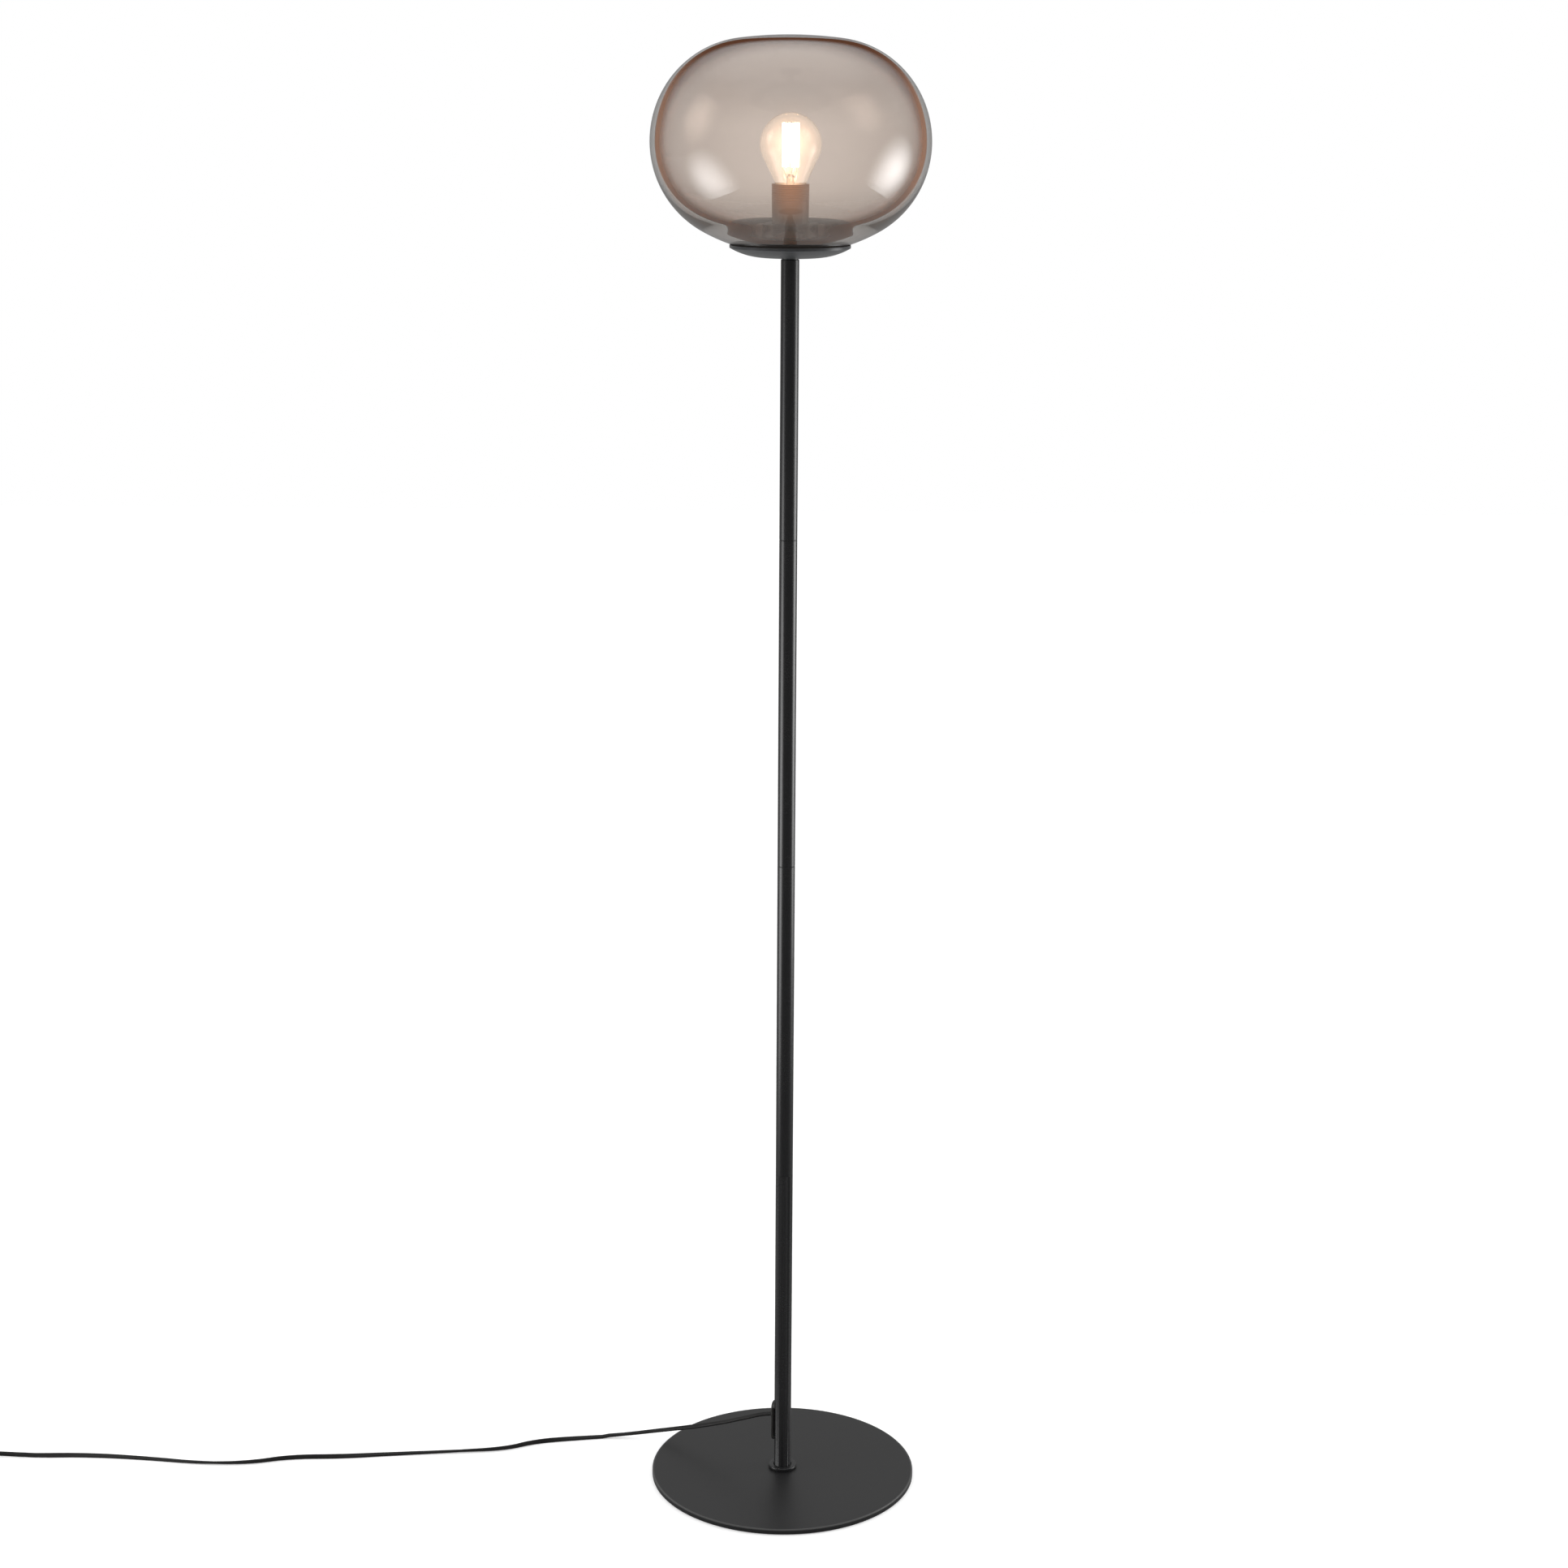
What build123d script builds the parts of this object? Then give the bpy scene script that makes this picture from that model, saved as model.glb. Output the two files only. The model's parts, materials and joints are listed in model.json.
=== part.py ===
from build123d import *
import os
from math import acos, asin, atan2, cos, hypot, pi, radians, sin, sqrt, tan

# Globe floor lamp, in millimetres. The origin is the centre of the base's underside, +Z is up, and
# the switch plate and the mains cord are on the -X side.

# ---------------------------------------------------------------- driving dimensions
BASE_DIA = 280.0
BASE_THICK = 5.2
PAD_DIA = 272.0
PAD_THICK = 0.8
PAD_HOLE_DIA = 20.0
BASE_EDGE = 0.5  # bright chamfer round the plate

COLLAR_WALL = 6.0  # out from the pole
COLLAR_HIGH = 3.7
COLLAR_ROUND = 1.3

POLE_DIA = 18.0
POLE_WALL = 1.2
POLE_SECTION = 336.0  # each of the three lower tubes
POLE_TOP_SECTION = 274.5
GROOVE = 0.4  # chamfer at each tube end, which makes the groove at a joint

FIT = 0.05  # gap between pieces that are pushed together
SLACK = 0.15  # gap between pieces that are laid together

SCREW_DIA = 8.0
SCREW_HEAD_DIA = 15.6
SCREW_REACH = 18.0
SCREW_SOCKET = 5.0
SCREW_SOCKET_DEEP = 2.6
SCREW_SUNK = 0.2  # up from the plate's underside
SCREW_HEAD_ROOM = 0.3
SCREW_TIP_CHAMFER = 0.8
FOOT_INSERT_LONG = 20.0
FOOT_INSERT_CHAMFER = 1.0

INSERT_LONG = 14.0
INSERT_CHAMFER = 0.5
NIPPLE_DIA = 10.0
NIPPLE_BORE = 7.0
NIPPLE_LONG = 22.0
NIPPLE_CHAMFER = 0.5
NIPPLE_SHORT = 1.0  # the top nipple stops this far over its insert's lower end
NIPPLE_OVER = 1.5  # from the nut to the top nipple's end

FLEX_WIDE = 5.4  # flat twin cord
FLEX_THICK = 3.2
FLEX_OVER = 1.5  # from the top nipple's end to the end of the flat cord
FLEX_BEND_ROOM = 2.0  # added to its thickness for the bend at the switch

SPACER_INSET = 1.0  # in from the pole's side
SPACER_HIGH = 2.0

DISH_DIA = 118.0
DISH_DEEP = 12.0
DISH_BAND = 2.8
DISH_WALL = 1.2
DISH_FLOOR_DIA = 50.0

GLOBE_DIA = 271.6
GLOBE_UP = 100.3  # from the widest level to the top
GLOBE_DOWN = 106.4  # from the widest level to where the bottom would close
GLOBE_RIM_GAP = 0.83  # from the dish's rim up to the glass
GLASS_SIDE = 5.1
GLASS_TOP = 2.2
GLASS_BOTTOM = 9.0
GLOBE_HOLE_ROOM = 2.9  # round the lampholder
# The side arc's radius over the height of its half: nearer to 1 is squarer.
OUTER_ROUND_UP = 0.976
OUTER_ROUND_DOWN = 0.905
INNER_ROUND_UP = 0.979
INNER_ROUND_DOWN = 0.821

HOLDER_DIA = 36.2
HOLDER_WALL = 1.9
HOLDER_FLOOR = 3.0
HOLDER_CAP_HIGH = 49.3
HOLDER_CHAMFER = 0.3
BARREL_PROUD = 0.2  # out from the cap
BARREL_HIGH = 17.0
BARREL_MOUTH = 13.0  # depth of the wider bore round the bulb's neck
BARREL_ROOM = 0.6
BARREL_THREADS = 6
THREAD_MARGIN = 1.5  # plain ends of the barrel
THREAD_DEEP = 0.35

GASKET_LAP = 3.5  # beyond the globe's hole
WASHER_LAP = 13.5  # beyond the globe's hole
WASHER_EDGE = 1.2
WASHER_NOTCHES = 4
NOTCH_DEEP_WIDE = (6.0, 5.0)
NOTCH_START = 30.0  # degrees
NOTCH_CUT = 10.0  # more than the washer is thick
SHADE_RING_WALL = 9.4  # out from the lampholder
SHADE_RING_HIGH = 3.6
SHADE_RING_TEETH = 60
SHADE_RING_ROUND = 0.8
TOOTH_DIA = 1.3

CORE_HIGH = 9.0
CORE_NOSE = 3.0  # the part of it that stands in the barrel's spigot
CORE_GAP = 11.0  # from the nut to the core, room for the leads
CORE_SLOT = (6.0, 5.0)
SHELL_DIA = 28.4
SHELL_WALL = 0.6
SHELL_HIGH = 25.0
SHELL_ROOM = 0.4  # between the screw shell and the barrel's spigot

TONGUE_TAIL = 10.0  # the spring tongue under the bulb's tip, from the middle to its fixed end
TONGUE_BEND = 3.0
TONGUE_WALL = 0.4
TONGUE_WIDE = 4.0
TONGUE_SLOPE = 0.3  # sideways shift of its underside's bends
TERMINAL_OUT = 8.0
TERMINAL_BLOCK = (5.0, 6.0, 4.0)
TERMINAL_SCREW_DIA = 3.8
TERMINAL_SCREW_HIGH = 1.6
INNER_LEAD_DIA = 1.8
INNER_LEAD_ASIDE = 1.35
INNER_LEAD_RISE = 2.6
INNER_LEAD_END = 3.0
INNER_LEAD_BEND = 1.6

NUT_ACROSS = 14.0
NUT_HIGH = 3.0

BULB_DIA = 60.0
BULB_CAP_DIA = 26.2
BULB_CAP_HIGH = 22.0
BULB_LONG = 106.0
BULB_NECK_DIA = 30.0
BULB_GLASS = 0.8
BULB_SEAT = 3.8  # from the core to the bulb's tip
CAP_LIFT = 4.5  # from the bulb's tip to the foot of its screw cap
CAP_WALL = 0.5
CAP_FOOT_R = 9.0
CAP_FOOT_DROP = 2.5
CAP_KNEE = 1.0
CAP_INNER_KNEE = 1.4
CAP_INNER_DROP = 1.8
INSULATOR_LOW_R = 5.2
INSULATOR_HIGH = 2.2
TIP_R = 4.8
TIP_HIGH = 1.2
TIP_PEG_R = 3.0
TIP_ROUND = 0.5
ENVELOPE_LIFT = 4.0  # from the cap's foot to the glass
ENVELOPE_OVER = 0.5  # from the barrel's rim to where the flank starts
STEM_FOOT_R = 8.5
STEM_LOW_R = 4.2
STEM_HIGH_R = 3.6
STEM_NECK_R = 2.0
POST_R = 1.6
STEM_FLARE_HIGH = 7.0
STEM_NECK_DROP = 3.0
STEM_OVER = 10.0  # from the start of the flank to the stem's top
POST_HIGH = 12.0
WIRE_R = 0.4
WIRE_FOOT_R = 4.3
WIRE_FOOT_DROP = 4.0
FILAMENTS = 8
FILAMENT_DIA = 2.0
FILAMENT_LONG = 42.0
FILAMENT_CIRCLE = 15.0
FILAMENT_DROP = 1.0  # its middle under the ball's middle
FILAMENT_START = 11.25  # degrees, so that all of them show from the front

SWITCH_TURN = 20.0  # degrees that the plate is turned to the back from -X
PLATE_LONG = 44.5
PLATE_WIDE = 12.4
PLATE_PROUD = 2.3
PLATE_MIDDLE = 59.0  # height of the plate's middle
PLATE_ROUND = 1.2
PLATE_START = 6.0  # from the pole's axis, inside the tube's wall
ROCKER_MIDDLE = 48.0
ROCKER_RADIUS = 7.3  # its ends are round about the pivot
ROCKER_WIDE = 7.0
ROCKER_CROWN = 2.35  # above the pivot
ROCKER_EDGE = 1.4  # above the pivot at its two ends
ROCKER_DEEP = 2.6  # below the pivot
ROCKER_TILT = 7.0  # degrees each way from level
ROCKER_GAP = 0.2
ROCKER_ROUND = 0.4
PIVOT_PROUD = 0.6  # from the pole's side
PIN_DIA = 2.0
PIN_FIT = 0.05
PIN_BEYOND = 1.4  # out from the window at each end
MOVING_CONTACT_SHORT = 1.3  # in from the rocker's underside, at each end
MOVING_CONTACT_WALL = 0.6
MOVING_CONTACT_HALF = 2.0
SWITCH_BODY_ENDS = 2.0  # out from the window, up and down
SWITCH_BODY_SIDES = 0.7
SWITCH_BODY_BACK = -2.5  # from the pole's axis
SWITCH_POCKET = 3.5  # from the pole's axis
SWITCH_TERMINAL = (2.2, 1.6)  # across and up
SWITCH_TERMINAL_APART = 9.2
SWITCH_TERMINAL_BEHIND = 1.5
SWITCH_TERMINAL_ROOM = 12.0
CONTACT_ROOM = 0.3
CORD_EXIT = 65.6
CORD_DIA = 5.4
CORD_FIT = 0.1
BUSH_DIA = 7.2
BUSH_LIP_DIA = 8.6
BUSH_LIP = 0.8
BUSH_ROUND = 0.5
CLAMP_LOW = 78.0
CLAMP_HIGH = 14.0
CLAMP_CHAMFER = 0.6
LEAD_DIA = 2.0
LEAD_ROOM = 0.1
LEAD_APART = 0.8
LEAD_UNDER = 2.0  # its end under the terminal
LEAD_IN_CLAMP = 6.0

ROUTE_Z = CORD_DIA / 2  # the cord lies on the floor
# The cord's route from the plate to the coil, chosen by hand.
ROUTE = [
    (-31.8, 10.8, 61.8),
    (-45.5, 17.2, 53.0),
    (-66.0, 31.0, 42.4),
    (-97.0, 51.0, 28.6),
    (-134.0, 67.5, 14.4),
    (-178.0, 77.5, ROUTE_Z),
    (-225.0, 70.0, ROUTE_Z),
    (-272.0, 60.5, ROUTE_Z),
    (-303.0, 42.5, ROUTE_Z),
    (-360.0, 37.6, ROUTE_Z),
    (-424.0, 30.8, ROUTE_Z),
    (-478.0, 22.5, ROUTE_Z),
    (-535.0, 20.5, ROUTE_Z),
    (-577.0, 6.5, ROUTE_Z),
    (-630.0, 7.0, ROUTE_Z),
    (-690.0, 17.0, ROUTE_Z),
    (-755.0, 22.5, ROUTE_Z),
    (-813.0, 19.5, ROUTE_Z),
]
FIRST_RUN = 10.5  # straight out of the plate
LAST_RUN = 34.0  # straight into the coil

COIL_MIDDLE = (-900.0, -15.0)
COIL_RADIUS = 37.4  # of the outermost turn's middle
COIL_STEP = 5.9  # from turn to turn, across and up
COIL_LIFT = 1.0  # the tie's lower side lies under the turns
COIL_HALF_TURNS = 4  # after the outermost one, in each of the two layers
TIE_WIDE = 9.0
TIE_WALL = 0.8
TIE_GAP = 0.1
TIE_ENDS = 1.0  # room beside the turns
TIE_ROUND = 2.0
# The tail's corners and its end, sideways and along from the coil's leftmost point, with the
# share of its way down to the plug's middle.
TAIL = [(0.0, -18.0, 0.0), (-2.3, -34.0, 0.55), (-4.6, -48.0, 1.0), (-4.6, -58.0, 1.0)]

PLUG_LONG = 46.0
PLUG_WIDE = 35.3
PLUG_THICK = 13.7
PLUG_PIN_DIA = 4.0
PLUG_PIN_LONG = 19.0
PLUG_PIN_APART = 18.6
PLUG_RELIEF_LONG = 20.0
PLUG_RELIEF_DIA = 7.4
PLUG_RELIEF_FLARE = 1.2
PLUG_NECK_SHARE = (0.42, 0.75)  # of the plug's width and thickness
PLUG_NECK_ROUND = 4.0
PLUG_ROUND = 5.0
PLUG_GRIP_SHARE = 0.62  # of its length, where it reaches its full width
PLUG_PIN_ROUND = 1.2

UP = (Align.CENTER, Align.CENTER, Align.MIN)
DOWN = (Align.CENTER, Align.CENTER, Align.MAX)
BORE_REACH = 4000.0  # longer than the lamp is high, both ways from the floor

# ---------------------------------------------------------------- levels and fits
plate_low = PAD_THICK
base_top = PAD_THICK + BASE_THICK
pole_r = POLE_DIA / 2
pole_in_r = pole_r - POLE_WALL
joint_levels = [base_top + POLE_SECTION * count for count in range(4)]
pole_top = joint_levels[3] + POLE_TOP_SECTION
tube_spans = list(zip(joint_levels, joint_levels[1:] + [pole_top]))
insert_r = pole_in_r - FIT
collar_r = pole_r + COLLAR_WALL
spacer_r = pole_r - SPACER_INSET
pivot_out = pole_r + PIVOT_PROUD
dish_low = pole_top + SPACER_HIGH
dish_floor = dish_low + DISH_WALL
rim_level = dish_low + DISH_DEEP
holder_r = HOLDER_DIA / 2
holder_in_r = holder_r - HOLDER_WALL
barrel_r = holder_r + BARREL_PROUD
hole_r = holder_r + GLOBE_HOLE_ROOM
gasket_r = hole_r + GASKET_LAP
washer_r = hole_r + WASHER_LAP
ring_r = holder_r + SHADE_RING_WALL
holder_seat = dish_floor + HOLDER_FLOOR
barrel_low = dish_floor + HOLDER_CAP_HIGH
barrel_top = barrel_low + BARREL_HIGH
core_low = holder_seat + NUT_HIGH + CORE_GAP
core_top = core_low + CORE_HIGH
core_shoulder = core_top - CORE_NOSE
bulb_low = core_top + BULB_SEAT
bulb_top = bulb_low + BULB_LONG
nipple_top = holder_seat + NUT_HIGH + NIPPLE_OVER
flex_top = nipple_top + FLEX_OVER

os.makedirs("parts", exist_ok=True)


def save(made, name):
    """Labels a finished piece and writes it under its own name."""
    made.part.label = name
    export_step(made.part, f"parts/{name}.step")


def bore(radius):
    """Takes a round hole along the pole's axis out of the whole piece."""
    Cylinder(radius, BORE_REACH, mode=Mode.SUBTRACT)


def half_oval(half_wide, high, roundness):
    """A quarter of a three-centre oval: the side arc's radius, the crown's radius and the angle
    at which they meet, counted from the widest level."""
    side = roundness * high
    crown = ((half_wide - side) ** 2 + high**2 - side**2) / (2 * (high - side))
    return side, crown, atan2(crown - high, half_wide - side)


def oval_point(half_wide, high, roundness, angle):
    """A point of that quarter, as its radius and its height over the widest level."""
    side, crown, meet = half_oval(half_wide, high, roundness)
    if angle <= meet:
        return half_wide - side + side * cos(angle), side * sin(angle)
    return crown * cos(angle), crown * sin(angle) - (crown - high)


def crown_height(half_wide, high, roundness, radius):
    """The height of the crown over the widest level, at a radius."""
    crown = half_oval(half_wide, high, roundness)[1]
    return sqrt(crown**2 - radius**2) - (crown - high)


# ---------------------------------------------------------------- base
with BuildPart() as base_plate:
    with Locations((0, 0, plate_low)):
        Cylinder(BASE_DIA / 2, BASE_THICK, align=UP)
    outer_edges = base_plate.edges().filter_by(GeomType.CIRCLE).sort_by(Axis.Z)[-1:]
    chamfer(outer_edges, BASE_EDGE)
    with Locations(Plane(origin=(0, 0, plate_low), z_dir=(0, 0, -1))):
        head_room = SCREW_HEAD_DIA / 2 + SCREW_HEAD_ROOM
        CounterSinkHole(SCREW_DIA / 2 + SLACK, head_room, counter_sink_angle=90)
save(base_plate, "base_plate")

with BuildPart() as base_pad:
    Cylinder(PAD_DIA / 2, PAD_THICK, align=UP)
    bore(PAD_HOLE_DIA / 2)
save(base_pad, "base_pad")

with BuildPart() as base_collar:
    with Locations((0, 0, base_top)):
        Cylinder(collar_r, COLLAR_HIGH, align=UP)
    rim = base_collar.edges().filter_by(GeomType.CIRCLE).sort_by(Axis.Z)[-1]
    fillet(rim, COLLAR_ROUND)
    bore(pole_r + SLACK)
save(base_collar, "base_collar")

screw_head_low = plate_low + SCREW_SUNK
screw_neck = screw_head_low + (SCREW_HEAD_DIA - SCREW_DIA) / 2
screw_tip = base_top + SCREW_REACH
with BuildPart() as base_screw:
    with Locations((0, 0, screw_head_low)):
        Cone(SCREW_HEAD_DIA / 2, SCREW_DIA / 2, screw_neck - screw_head_low, align=UP)
    with Locations((0, 0, screw_neck)):
        Cylinder(SCREW_DIA / 2, screw_tip - screw_neck, align=UP)
    tip_edge = base_screw.edges().filter_by(GeomType.CIRCLE).sort_by(Axis.Z)[-1]
    chamfer(tip_edge, SCREW_TIP_CHAMFER)
    with BuildSketch(Plane.XY.offset(screw_head_low)):
        RegularPolygon(SCREW_SOCKET / 2, 6, major_radius=False)
    extrude(amount=SCREW_SOCKET_DEEP, mode=Mode.SUBTRACT)
save(base_screw, "base_screw")

# ---------------------------------------------------------------- switch frame
turn = radians(SWITCH_TURN)
out = Vector(-cos(turn), sin(turn), 0)  # away from the pole, through the plate's middle
across = Vector(-sin(turn), -cos(turn), 0)  # along the pivot pin, towards the front
plate_out = pole_r + PLATE_PROUD
window_long = 2 * (ROCKER_RADIUS + ROCKER_GAP)
window_wide = ROCKER_WIDE + 2 * ROCKER_GAP


def switch_face(level, distance):
    """A sketch plane that faces out of the plate, with its first direction upwards."""
    return Plane(origin=out * distance + Vector(0, 0, level), x_dir=(0, 0, 1), z_dir=out)


# ---------------------------------------------------------------- pole
body_long = window_long + 2 * SWITCH_BODY_ENDS
body_wide = window_wide + 2 * SWITCH_BODY_SIDES
for number, (low, high) in enumerate(tube_spans, 1):
    with BuildPart() as pole_tube:
        with Locations((0, 0, low)):
            Cylinder(pole_r, high - low, align=UP)
        chamfer(pole_tube.edges().filter_by(GeomType.CIRCLE), GROOVE)
        bore(pole_in_r)
        if number == 1:
            with BuildSketch(switch_face(ROCKER_MIDDLE, 0)):
                Rectangle(body_long + 2 * SLACK, body_wide + 2 * SLACK)
            extrude(amount=POLE_DIA, mode=Mode.SUBTRACT)
            with BuildSketch(switch_face(CORD_EXIT, 0)):
                Circle(BUSH_DIA / 2 + FIT)
            extrude(amount=POLE_DIA, mode=Mode.SUBTRACT)
    save(pole_tube, f"pole_tube_{number}")

with BuildPart() as foot_insert:
    with Locations((0, 0, base_top)):
        Cylinder(insert_r, FOOT_INSERT_LONG, align=UP)
    upper_edge = foot_insert.edges().filter_by(GeomType.CIRCLE).sort_by(Axis.Z)[-1]
    chamfer(upper_edge, FOOT_INSERT_CHAMFER)
    bore(SCREW_DIA / 2 + FIT)
save(foot_insert, "foot_insert")

for number, (low, high) in enumerate(tube_spans, 1):
    ends = {"top": high - INSERT_LONG}
    if number > 1:
        ends["bottom"] = low
    for end, start in ends.items():
        with BuildPart() as tube_insert:
            with Locations((0, 0, start)):
                Cylinder(insert_r, INSERT_LONG, align=UP)
            bore(NIPPLE_DIA / 2 + FIT)
            chamfer(tube_insert.edges().filter_by(GeomType.CIRCLE), INSERT_CHAMFER)
        save(tube_insert, f"insert_{number}_{end}")

for number, level in enumerate(joint_levels[1:], 1):
    with BuildPart() as joint_nipple:
        with Locations((0, 0, level)):
            Cylinder(NIPPLE_DIA / 2, NIPPLE_LONG)
        bore(NIPPLE_BORE / 2)
        chamfer(joint_nipple.edges().filter_by(GeomType.CIRCLE), NIPPLE_CHAMFER)
    save(joint_nipple, f"joint_nipple_{number}")

# ---------------------------------------------------------------- dish and what clamps it
with BuildPart() as neck_spacer:
    with Locations((0, 0, pole_top)):
        Cylinder(spacer_r, SPACER_HIGH, align=UP)
    bore(NIPPLE_DIA / 2 + SLACK)
save(neck_spacer, "neck_spacer")

dish_r = DISH_DIA / 2
flat_r = DISH_FLOOR_DIA / 2
bowl_rise = DISH_DEEP - DISH_BAND
bowl_r = ((dish_r - flat_r) ** 2 + bowl_rise**2) / (2 * bowl_rise)
bowl_end = atan2(dish_r - flat_r, bowl_r - bowl_rise)


def bowl_point(radius, angle):
    """A point of the bowl's arc, which starts level at the edge of the flat floor."""
    return flat_r + radius * sin(angle), dish_low + bowl_r - radius * cos(angle)


inner_bowl_r = bowl_r - DISH_WALL
inner_end = asin((dish_r - DISH_WALL - flat_r) / inner_bowl_r)
nipple_hole_r = NIPPLE_DIA / 2 + SLACK
with BuildPart() as dish:
    with BuildSketch(Plane.XZ):
        with BuildLine():
            Line((nipple_hole_r, dish_low), (flat_r, dish_low))
            ThreePointArc(
                (flat_r, dish_low),
                bowl_point(bowl_r, bowl_end / 2),
                bowl_point(bowl_r, bowl_end),
            )
            Polyline(
                bowl_point(bowl_r, bowl_end),
                (dish_r, rim_level),
                (dish_r - DISH_WALL, rim_level),
                bowl_point(inner_bowl_r, inner_end),
            )
            ThreePointArc(
                bowl_point(inner_bowl_r, inner_end),
                bowl_point(inner_bowl_r, inner_end / 2),
                (flat_r, dish_floor),
            )
            Polyline((flat_r, dish_floor), (nipple_hole_r, dish_floor), (nipple_hole_r, dish_low))
        make_face()
    revolve(axis=Axis.Z)
save(dish, "dish")

nipple_low = pole_top - INSERT_LONG + NIPPLE_SHORT
with BuildPart() as top_nipple:
    with Locations((0, 0, nipple_low)):
        Cylinder(NIPPLE_DIA / 2, nipple_top - nipple_low, align=UP)
    bore(NIPPLE_BORE / 2)
    chamfer(top_nipple.edges().filter_by(GeomType.CIRCLE), NIPPLE_CHAMFER)
save(top_nipple, "top_nipple")

with BuildPart() as nipple_nut:
    with BuildSketch(Plane.XY.offset(holder_seat)):
        RegularPolygon(NUT_ACROSS / 2, 6, major_radius=False)
        Circle(NIPPLE_DIA / 2 + FIT, mode=Mode.SUBTRACT)
    extrude(amount=NUT_HIGH)
save(nipple_nut, "nipple_nut")

# ---------------------------------------------------------------- globe
outer_up = (GLOBE_DIA / 2, GLOBE_UP, OUTER_ROUND_UP)
outer_down = (GLOBE_DIA / 2, GLOBE_DOWN, OUTER_ROUND_DOWN)
inner_up = (GLOBE_DIA / 2 - GLASS_SIDE, GLOBE_UP - GLASS_TOP, INNER_ROUND_UP)
inner_down = (GLOBE_DIA / 2 - GLASS_SIDE, GLOBE_DOWN - GLASS_BOTTOM, INNER_ROUND_DOWN)
# The glass stands clear of the dish's rim, which sets how high its seals hold it.
globe_middle = rim_level + GLOBE_RIM_GAP + crown_height(*outer_down, dish_r)


def quarter_arcs(quarter, below, end_r):
    """The two arcs of a quarter oval as three points each, from the widest level to a radius."""
    meet = half_oval(*quarter)[2]
    crown = half_oval(*quarter)[1]
    end = atan2(sqrt(crown**2 - end_r**2), end_r)
    sign = -1 if below else 1
    arcs = []
    for start, stop in ((0, meet), (meet, end)):
        points = [oval_point(*quarter, start + (stop - start) * share) for share in (0, 0.5, 1)]
        arcs.append([(r, globe_middle + sign * z) for r, z in points])
    return arcs


with BuildPart() as glass_globe:
    with BuildSketch(Plane.XZ):
        with BuildLine():
            outside = quarter_arcs(outer_down, True, hole_r)
            inside = quarter_arcs(inner_down, True, hole_r)
            for arc in outside + inside:
                ThreePointArc(*arc)
            Line(outside[-1][-1], inside[-1][-1])
            outside_up = quarter_arcs(outer_up, False, 0)
            inside_up = quarter_arcs(inner_up, False, 0)
            for arc in outside_up + inside_up:
                ThreePointArc(*arc)
            Line(outside_up[-1][-1], inside_up[-1][-1])
        make_face()
    revolve(axis=Axis.Z)
save(glass_globe, "glass_globe")


def under_glass(radius):
    """Height of the glass's outer face near the hole."""
    return globe_middle - crown_height(*outer_down, radius)


def over_glass(radius):
    """Height of the glass's inner face near the hole."""
    return globe_middle - crown_height(*inner_down, radius)


seal_r = holder_r + SLACK
with BuildPart() as glass_gasket:
    with Locations((0, 0, dish_floor)):
        Cylinder(gasket_r, under_glass(hole_r) - FIT - dish_floor, align=UP)
    bore(seal_r)
save(glass_gasket, "glass_gasket")

washer_top = over_glass(washer_r) + WASHER_EDGE
washer_mid_r = (hole_r + washer_r) / 2
with BuildPart() as notched_washer:
    with BuildSketch(Plane.XZ):
        with BuildLine():
            Polyline(
                (hole_r, over_glass(hole_r) + FIT),
                (seal_r, over_glass(hole_r) + FIT),
                (seal_r, washer_top),
                (washer_r, washer_top),
                (washer_r, over_glass(washer_r) + FIT),
            )
            ThreePointArc(
                (washer_r, over_glass(washer_r) + FIT),
                (washer_mid_r, over_glass(washer_mid_r) + FIT),
                (hole_r, over_glass(hole_r) + FIT),
            )
        make_face()
    revolve(axis=Axis.Z)
    with BuildSketch(Plane.XY.offset(washer_top)):
        with PolarLocations(washer_r, WASHER_NOTCHES, start_angle=NOTCH_START):
            Rectangle(*NOTCH_DEEP_WIDE)
    extrude(amount=-NOTCH_CUT, mode=Mode.SUBTRACT)
save(notched_washer, "notched_washer")

with BuildPart() as shade_ring:
    with Locations((0, 0, washer_top)):
        Cylinder(ring_r, SHADE_RING_HIGH, align=UP)
    upper_edge = shade_ring.edges().filter_by(GeomType.CIRCLE).sort_by(Axis.Z)[-1]
    fillet(upper_edge, SHADE_RING_ROUND)
    bore(seal_r)
    with BuildSketch(Plane.XY.offset(washer_top)):
        with PolarLocations(ring_r, SHADE_RING_TEETH):
            Circle(TOOTH_DIA / 2)
    extrude(amount=SHADE_RING_HIGH, mode=Mode.SUBTRACT)
save(shade_ring, "shade_ring")

# ---------------------------------------------------------------- lampholder
with BuildPart() as holder_cap:
    with Locations((0, 0, dish_floor)):
        Cylinder(holder_r, HOLDER_CAP_HIGH, align=UP)
    with Locations((0, 0, holder_seat)):
        Cylinder(holder_in_r, HOLDER_CAP_HIGH, align=UP, mode=Mode.SUBTRACT)
    bore(NIPPLE_DIA / 2 + SLACK)
    top_rim = holder_cap.edges().filter_by(GeomType.CIRCLE).sort_by(Axis.Z)[-2:]
    chamfer(top_rim.sort_by(SortBy.RADIUS)[-1], HOLDER_CHAMFER)
save(holder_cap, "holder_cap")

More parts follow.
